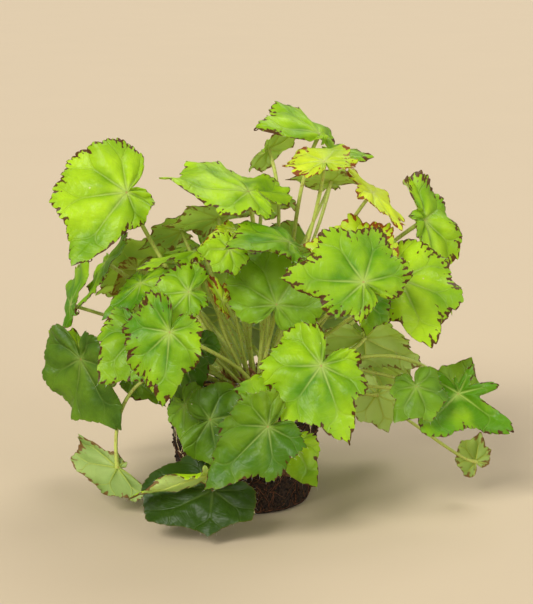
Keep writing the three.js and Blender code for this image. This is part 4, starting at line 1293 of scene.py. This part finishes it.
def stalk_material(name, light, deep):
    """Begonia petiole: a juicy stem, pale and glossy, with short red-brown flecks along it."""
    material, tree, where = new_material(name)
    long = add_node(tree, "ShaderNodeMapping", {"Vector": where, "Scale": (1.0, 1.0, 0.35)})
    mottle = add_node(tree, "ShaderNodeTexNoise", {"Vector": where, "Scale": 45.0, "Detail": 2.0})
    green = add_node(tree, "ShaderNodeMix", {0: mottle, 6: deep, 7: light}, data_type="RGBA")
    # flecks 0.8 mm wide and 2 mm long
    flecks = add_node(tree, "ShaderNodeTexNoise", {"Vector": long, "Scale": 950.0, "Detail": 1.0})
    few = add_node(tree, "ShaderNodeMapRange", {
        "Value": flecks, "From Min": 0.6, "From Max": 0.68, "To Max": 0.5,
    })
    colour = add_node(tree, "ShaderNodeMix", {0: few, 6: green, 7: linear(0x9C5236)}, data_type="RGBA")
    bump = add_node(tree, "ShaderNodeBump", {"Strength": 0.3, "Distance": 0.0003, "Height": flecks})
    skin = add_node(tree, "ShaderNodeBsdfPrincipled", {
        "Base Color": colour, "Roughness": 0.38, "IOR": 1.42, "Normal": bump,
    })
    through = add_node(tree, "ShaderNodeBsdfTranslucent", {"Color": colour})
    mixed = add_node(tree, "ShaderNodeMixShader", {0: 0.15, 1: skin, 2: through})
    return close_material(material, mixed)


def plain_material(name, colour, roughness, scale, low, high):
    """A dull surface of one colour, a little deeper and lighter from place to place."""
    material, tree, where = new_material(name)
    mottle = add_node(tree, "ShaderNodeTexNoise", {"Vector": where, "Scale": scale})
    shade = add_node(tree, "ShaderNodeMapRange", {"Value": mottle, "To Min": low, "To Max": high})
    toned = add_node(tree, "ShaderNodeMix", {
        0: 1.0, 6: colour, 7: shade,
    }, data_type="RGBA", blend_type="MULTIPLY")
    skin = add_node(tree, "ShaderNodeBsdfPrincipled", {"Base Color": toned, "Roughness": roughness})
    return close_material(material, skin)


def grainy_material(name, dark, light, grain, depth, roughness):
    """A dull natural surface, mottled between two colours by grains of a given size in metres."""
    material, tree, where = new_material(name)
    broad = add_node(tree, "ShaderNodeTexNoise", {"Vector": where, "Scale": 0.12 / grain, "Detail": 4.0})
    fine = add_node(tree, "ShaderNodeTexVoronoi", {"Vector": where, "Scale": 1.0 / grain})
    both = add_node(tree, "ShaderNodeMath", {0: broad, 1: fine}, operation="MULTIPLY")
    tone = add_node(tree, "ShaderNodeMapRange", {"Value": both, "From Min": 0.05, "From Max": 0.42})
    colour = add_node(tree, "ShaderNodeMix", {0: tone, 6: dark, 7: light}, data_type="RGBA")
    dust = add_node(tree, "ShaderNodeTexNoise", {"Vector": where, "Scale": 2.5 / grain, "Detail": 3.0})
    height = add_node(tree, "ShaderNodeMath", {0: dust, 1: 0.5, 2: fine}, operation="MULTIPLY_ADD")
    bump = add_node(tree, "ShaderNodeBump", {"Strength": 0.8, "Distance": depth, "Height": height})
    skin = add_node(tree, "ShaderNodeBsdfPrincipled", {
        "Base Color": colour, "Roughness": roughness, "Specular IOR Level": 0.25, "Normal": bump,
    })
    return close_material(material, skin)


# ------------------------------------------------------------------ settings


def colour_setting(name, hex_colour, description):
    return FloatVectorProperty(
        name=name, description=description, subtype="COLOR", size=4, min=0, max=1,
        default=linear(hex_colour),
    )


def length_setting(name, default, low, high, description):
    return FloatProperty(
        name=name, description=description, default=default, min=low, max=high, unit="LENGTH",
    )


def number_setting(name, default, high, description):
    return FloatProperty(name=name, description=description, default=default, min=0, max=high)


class BegoniaLeafSettings(bpy.types.PropertyGroup):
    thickness: length_setting("Thickness", 0.0006, 0.0002, 0.002, "Of a blade at its middle")
    tooth_spacing: length_setting("Tooth spacing", 0.0055, 0.002, 0.02, "From one tooth to the next")
    tooth_depth: number_setting("Tooth depth", 0.015, 0.1, "As a share of the blade's length")
    rib: length_setting("Rib", 0.001, 0.0002, 0.004, "Radius of a main vein under the blade")
    bright: colour_setting("Bright", 0xB6E01E, "Light tone of a full-grown blade")
    bright_deep: colour_setting("Bright, deep", 0x5A9410, "Deep tone of a full-grown blade")
    young: colour_setting("Young", 0xDDF232, "Light tone of a young blade")
    young_deep: colour_setting("Young, deep", 0xB2D626, "Deep tone of a young blade")
    dark: colour_setting("Old", 0x86B422, "Light tone of an old blade")
    dark_deep: colour_setting("Old, deep", 0x446E12, "Deep tone of an old blade")
    stain: colour_setting("Blotch", 0x1E0B07, "Blotches between the teeth")
    stain_light: colour_setting("Blotch, light", 0x702E18, "Where a blotch is worn thin")
    young_stain: colour_setting("Young blotch", 0x6A200A, "Blotches between a young blade's teeth")
    young_stain_light: colour_setting("Young blotch, light", 0xB04A20, "Where it is worn thin")
    stalk: colour_setting("Stalk", 0xD6E074, "Light tone of a stalk")
    stalk_deep: colour_setting("Stalk, deep", 0xA4B644, "Deep tone of a stalk")


class BegoniaHairSettings(bpy.types.PropertyGroup):
    density: number_setting("Density", 90000, 200000, "Hairs on a square metre of stalk")
    length: length_setting("Length", 0.0022, 0.0005, 0.01, "Length of a hair on a stalk")
    thickness: length_setting("Thickness", 0.00007, 0.00002, 0.0005, "Radius of a hair at its foot")
    lash: length_setting("Lash", 0.0028, 0.0005, 0.01, "Length of a hair on a blade's margin")
    colour: colour_setting("Colour", 0xEFEFE0, "Colour of the hairs")


class BegoniaGroundSettings(bpy.types.PropertyGroup):
    crumb: length_setting("Crumb", 0.0019, 0.0005, 0.01, "Radius of the largest crumbs of peat")
    crumbs: number_setting("Crumbs", 42000, 100000, "Crumbs on a square metre of the root ball")
    root_length: length_setting("Root length", 0.034, 0.005, 0.1, "Length of a fine root")
    root_thickness: length_setting("Root thickness", 0.00028, 0.0001, 0.002, "Radius of a fine root")
    roots: number_setting("Roots", 16000, 50000, "Fine roots on a square metre of the root ball")
    seed: IntProperty(name="Seed", description="Picks another scatter", default=3, min=0)
    peat: colour_setting("Peat", 0x0C0806, "Dark tone of the peat")
    peat_light: colour_setting("Peat, light", 0x33251A, "Light tone of the peat")
    root: colour_setting("Root", 0x6E4428, "Colour of the fine roots")


class BegoniaStageSettings(bpy.types.PropertyGroup):
    floor: colour_setting("Floor", 0xCCBA9E, "Colour of the floor")
    target: FloatVectorProperty(
        name="Target", description="Point that the camera looks at",
        default=(0.0159, 0, 0.151), size=3, subtype="TRANSLATION")
    distance: length_setting("Distance", 1.25, 0.3, 10, "From the camera to its target")
    pitch: FloatProperty(
        name="Pitch", description="How far the camera looks down",
        default=math.radians(12), subtype="ANGLE")
    lens: FloatProperty(
        name="Focal length", description="Of the camera, in millimetres",
        default=99.7, min=10, max=300)
    key: number_setting("Key light", 2.85, 20, "From the front left")
    fill: number_setting("Fill light", 1.75, 20, "From the front right")
    back: number_setting("Back light", 0.9, 20, "From behind")
    sky: number_setting("Sky", 0.42, 20, "From all round")


class BegoniaSettings(bpy.types.PropertyGroup):
    leaf: PointerProperty(type=BegoniaLeafSettings)
    hair: PointerProperty(type=BegoniaHairSettings)
    ground: PointerProperty(type=BegoniaGroundSettings)
    stage: PointerProperty(type=BegoniaStageSettings)


# ----------------------------------------------------------------- operators


def leaf_tone_and_painted_light(blade):
    """How much lighter one blade is than the next, partly by painted light and shade, and its painted
    shade.
    """
    own = np.random.default_rng(7 + blade.seed).uniform(-0.25, 0.25)
    return own + blade.row.get("tone_and_painted_light", 0), blade.row.get("painted_shade", 0)


def every_leaf(given):
    """The node, blade, margin and stalk path of each leaf in turn."""
    nodes = sorted(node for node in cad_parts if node.startswith("leaf_"))
    for i, (node, row, root) in enumerate(zip(nodes, LEAVES, stalk_roots(), strict=True)):
        blade = Blade(row, i)
        margin = Margin(blade, given.tooth_spacing / MM, given.tooth_depth)
        yield node, blade, margin, stalk_path(blade, root)


class BEGONIA_OT_leaves(bpy.types.Operator):
    """Build every leaf, with its toothed blade, its ribs and its stalk"""
    bl_idname = "begonia.leaves"
    bl_label = "Leaves"

    def execute(self, context):
        given = context.scene.begonia.leaf
        old_stain = (given.stain, given.stain_light)
        young_stain = (given.young_stain, given.young_stain_light)
        # light and deep green, veins, underside, its deep tone, and the two tones of the blotches
        tones = {
            "bright": (given.bright, given.bright_deep, 0xCCE27A, 0xE0F4A6, 0xB8D878, old_stain),
            "young": (given.young, given.young_deep, 0xE6F08C, 0xDADE8E, 0xBCC062, young_stain),
            "dark": (given.dark, given.dark_deep, 0xA6C45C, 0xC6DA9C, 0xA2C070, old_stain),
        }
        stalks = stalk_material("Begonia petiole", given.stalk, given.stalk_deep)
        skins = {}
        for tone, (light, deep, vein, under, under_deep, stains) in tones.items():
            upper = blade_material(f"Begonia blade, {tone}", light, deep, linear(vein), *stains, True)
            lower = blade_material(
                f"Begonia underside, {tone}", linear(under), linear(under_deep), given.stalk,
                *young_stain, False)
            skins[tone] = (upper, lower, stalks)
        for node, blade, margin, path in every_leaf(given):
            shell = Shell()
            tone_and_painted_light = leaf_tone_and_painted_light(blade)
            add_blade(shell, blade, margin, given, tone_and_painted_light)
            add_ribs(shell, blade, given, tone_and_painted_light)
            if blade.row.get("hook"):
                add_hook(shell, blade, tone_and_painted_light)
            add_stalk(shell, blade, path)
            mesh = shell.mesh(node, skins[blade.tone], crease=60)
            settle(new_object(f"{node}_fine", mesh), f"leaf_{blade.tone}", node)
        return {"FINISHED"}


class BEGONIA_OT_hairs(bpy.types.Operator):
    """Grow the hairs of the stalks and the lashes of the leaf margins"""
    bl_idname = "begonia.hairs"
    bl_label = "Hairs"

    def execute(self, context):
        given = context.scene.begonia
        # plant hair: dry, hollow, nearly white cells that catch the light, mottled over 17 mm
        white = plain_material("Begonia hair", given.hair.colour, 0.5, 60.0, 0.75, 1.1)
        skin, scratch = Shell(), Shell()
        tips, ways = [], []
        for _, blade, margin, path in every_leaf(given.leaf):
            points, triangles = add_stalk(scratch, blade, path[2:])
            skin.add(points, triangles, 0)
            phase, tooth = margin.phase[margin.tips], margin.height[margin.tips]
            edge = blade.point(phase, 1, 0, tooth)
            tips.append(edge)
            ways.append(unit(edge - blade.point(phase, 0.93)))
        fur = grow("stalk_hairs", skin.mesh("stalk_skin", []), hair_tree(white, True),
                   Density=given.hair.density, Length=given.hair.length,
                   Thickness=given.hair.thickness, Lean=0.6, Shortest=0.45, Longest=1.3, Seed=5)
        settle(fur, "leaf_bright")
        cloud = point_cloud("margin_tips", np.concatenate(tips), np.concatenate(ways))
        lashes = grow("margin_lashes", cloud, hair_tree(white, False), Length=given.hair.lash,
                      Thickness=given.hair.thickness, Lean=0.35, Shortest=0.5, Longest=1.25, Seed=9)
        settle(lashes, "leaf_bright")
        return {"FINISHED"}


class BEGONIA_OT_rhizome(bpy.types.Operator):
    """Build the rhizome in the top of the root ball, with its papery scales"""
    bl_idname = "begonia.rhizome"
    bl_label = "Rhizome"

    def execute(self, context):
        # rhizome: corky skin, green-brown and a little rough
        bark = grainy_material(
            "Begonia rhizome", linear(0x5A4A2C), linear(0x93904F), 0.0016, 0.0005, 0.6)
        # papery scale: a thin dry brown film, mottled over 17 mm
        paper = plain_material("Papery scale", linear(0xA9744A), 0.7, 60.0, 0.75, 1.1)
        body = grow("rhizome_fine", rhizome_mesh(), roughen_tree(bark), Lump_Size=0.006,
                    Lump_Height=0.0005, Grain_Size=0.0016, Grain_Height=0.0002, Flat_Below=0.076, Seed=4)
        settle(body, "rhizome", "rhizome")
        feet, ways = [], []
        for foot, way in stalk_roots():
            for turn in SCALE_TURNS:
                round_it = np.array((math.cos(turn), math.sin(turn), 0))
                feet.append(foot + 1.6 * round_it - 1.5 * way)
                ways.append(unit(way + 0.5 * round_it))
        scales = grow("rhizome_scales", point_cloud("stalk_feet", feet, ways), scale_tree(paper),
                      Length=0.014, Width=0.006, Thickness=0.0003, Seed=6)
        settle(scales, "rhizome")
        return {"FINISHED"}


class BEGONIA_OT_root_ball(bpy.types.Operator):
    """Build the root ball, with its crumbs of peat and its roots"""
    bl_idname = "begonia.root_ball"
    bl_label = "Root ball"

    def execute(self, context):
        given = context.scene.begonia.ground
        # peat: dark fibrous crumbs, dull all over
        peat = grainy_material("Peat", given.peat, given.peat_light, 0.0022, 0.0012, 0.95)
        # fine root: thin dry red-brown bark
        root = grainy_material("Fine root", linear(0x4A2A1A), given.root, 0.0012, 0.0002, 0.7)
        # young root: smooth and juicy, nearly white
        pale = grainy_material(
            "Young root", linear(0xA88F66), linear(0xD9CBA6), 0.0015, 0.0002, 0.6)
        ball = grow("root_ball_fine", root_ball_mesh(), roughen_tree(peat), Lump_Size=0.009,
                    Lump_Height=0.0014, Grain_Size=0.0024, Grain_Height=0.0007, Flat_Below=0.0,
                    Seed=given.seed)
        settle(ball, "peat", "root_ball")
        crumbs = grow("peat_crumbs", self.part(ball, *CRUMBED), crumb_tree(peat),
                      Density=given.crumbs, Size=given.crumb, Seed=given.seed + 1)
        settle(crumbs, "peat")
        roots = grow("fine_roots", self.part(ball, *ROOTED, level=False), root_tree(root),
                     Density=given.roots, Length=given.root_length,
                     Thickness=given.root_thickness, Seed=given.seed + 2)
        settle(roots, "peat")
        young = grow("young_roots", self.part(ball, *YOUNG_ROOTED, level=False), root_tree(pale),
                     Density=1500.0, Length=0.045, Thickness=0.0005, Wander=0.004, Spread=0.4,
                     Lift=0.0007, Steps=14, Sides=6, Seed=given.seed + 8)
        settle(young, "peat")
        return {"FINISHED"}

    def part(self, ball, low, high, level=True):
        """A copy of the faces of the ball between two heights, with or without the level top."""
        mesh = ball.data.copy()
        count = len(mesh.polygons)
        centres, normals = np.zeros((2, 3 * count), np.float32)
        mesh.polygons.foreach_get("center", centres)
        mesh.polygons.foreach_get("normal", normals)
        height, up = centres[2::3] / MM, normals[2::3]
        keep = (height > low) & (height < high) & (level | (np.abs(up) < LEVEL))
        cut = bmesh.new()
        cut.from_mesh(mesh)
        cut.faces.ensure_lookup_table()
        gone = [face for face, kept in zip(cut.faces, keep) if not kept]
        bmesh.ops.delete(cut, geom=gone, context="FACES")
        cut.to_mesh(mesh)
        cut.free()
        return mesh


class BEGONIA_OT_stage(bpy.types.Operator):
    """Lay the floor and set up the lights and the camera"""
    bl_idname = "begonia.stage"
    bl_label = "Floor, lights and camera"

    def execute(self, context):
        given = context.scene.begonia.stage
        scene = context.scene
        floor = bpy.data.meshes.new("floor")
        far = FLOOR_REACH
        floor.from_pydata(
            [(-far, -far, 0), (far, -far, 0), (far, far, 0), (-far, far, 0)], [], [(0, 1, 2, 3)])
        # studio board: matt painted card, with a very faint unevenness in its tone
        floor.materials.append(plain_material("Studio board", given.floor, 0.8, 3.0, 0.97, 1.0))
        new_object("floor", floor)
        target = Vector(given.target)
        lights = (
            ("key", given.key, 24, (-0.75, -1.15, 1.2), (1.0, 0.98, 0.93)),
            ("fill", given.fill, 50, (1.3, -1.1, 0.35), (1.0, 0.98, 0.95)),
            ("back", given.back, 30, (0.5, 0.9, 1.3), (1.0, 0.98, 0.92)),
        )
        for name, power, spread, spot, colour in lights:
            lamp = bpy.data.lights.new(name, "SUN")
            lamp.energy = power
            lamp.angle = math.radians(spread)
            lamp.color = colour
            aimed(name, lamp, Vector(spot), target)
        scene.view_settings.view_transform = "Standard"
        world = bpy.data.worlds.new("Studio")
        world.use_nodes = True
        sky = world.node_tree.nodes["Background"]
        sky.inputs["Color"].default_value = (1.0, 0.96, 0.9, 1.0)
        sky.inputs["Strength"].default_value = given.sky
        scene.world = world
        camera = bpy.data.cameras.new("camera")
        camera.lens = given.lens
        camera.clip_start, camera.clip_end = 0.05, 100
        back = Vector((0, -math.cos(given.pitch), math.sin(given.pitch)))
        scene.camera = aimed("camera", camera, target + given.distance * back, target)
        return {"FINISHED"}


class BEGONIA_PT_panel(bpy.types.Panel):
    bl_idname = "BEGONIA_PT_panel"
    bl_label = "Begonia"
    bl_space_type = "VIEW_3D"
    bl_region_type = "UI"
    bl_category = "Begonia"

    def draw(self, context):
        given = context.scene.begonia
        groups = (given.stage, given.ground, None, given.leaf, given.hair)
        for operator, group in zip(OPERATORS, groups):
            box = self.layout.box()
            box.operator(operator.bl_idname)
            if group is not None:
                for name in group.__annotations__:
                    box.prop(group, name)


OPERATORS = (
    BEGONIA_OT_stage, BEGONIA_OT_root_ball, BEGONIA_OT_rhizome, BEGONIA_OT_leaves, BEGONIA_OT_hairs,
)
CLASSES = (
    BegoniaLeafSettings, BegoniaHairSettings, BegoniaGroundSettings, BegoniaStageSettings,
    BegoniaSettings, *OPERATORS, BEGONIA_PT_panel,
)


def register():
    for cls in CLASSES:
        bpy.utils.register_class(cls)
    bpy.types.Scene.begonia = PointerProperty(type=BegoniaSettings)


def unregister():
    del bpy.types.Scene.begonia
    for cls in reversed(CLASSES):
        bpy.utils.unregister_class(cls)


def main():
    register()
    bpy.ops.begonia.stage()
    bpy.ops.begonia.root_ball()
    bpy.ops.begonia.rhizome()
    bpy.ops.begonia.leaves()
    bpy.ops.begonia.hairs()
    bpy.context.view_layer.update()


if __name__ == "__main__":
    main()
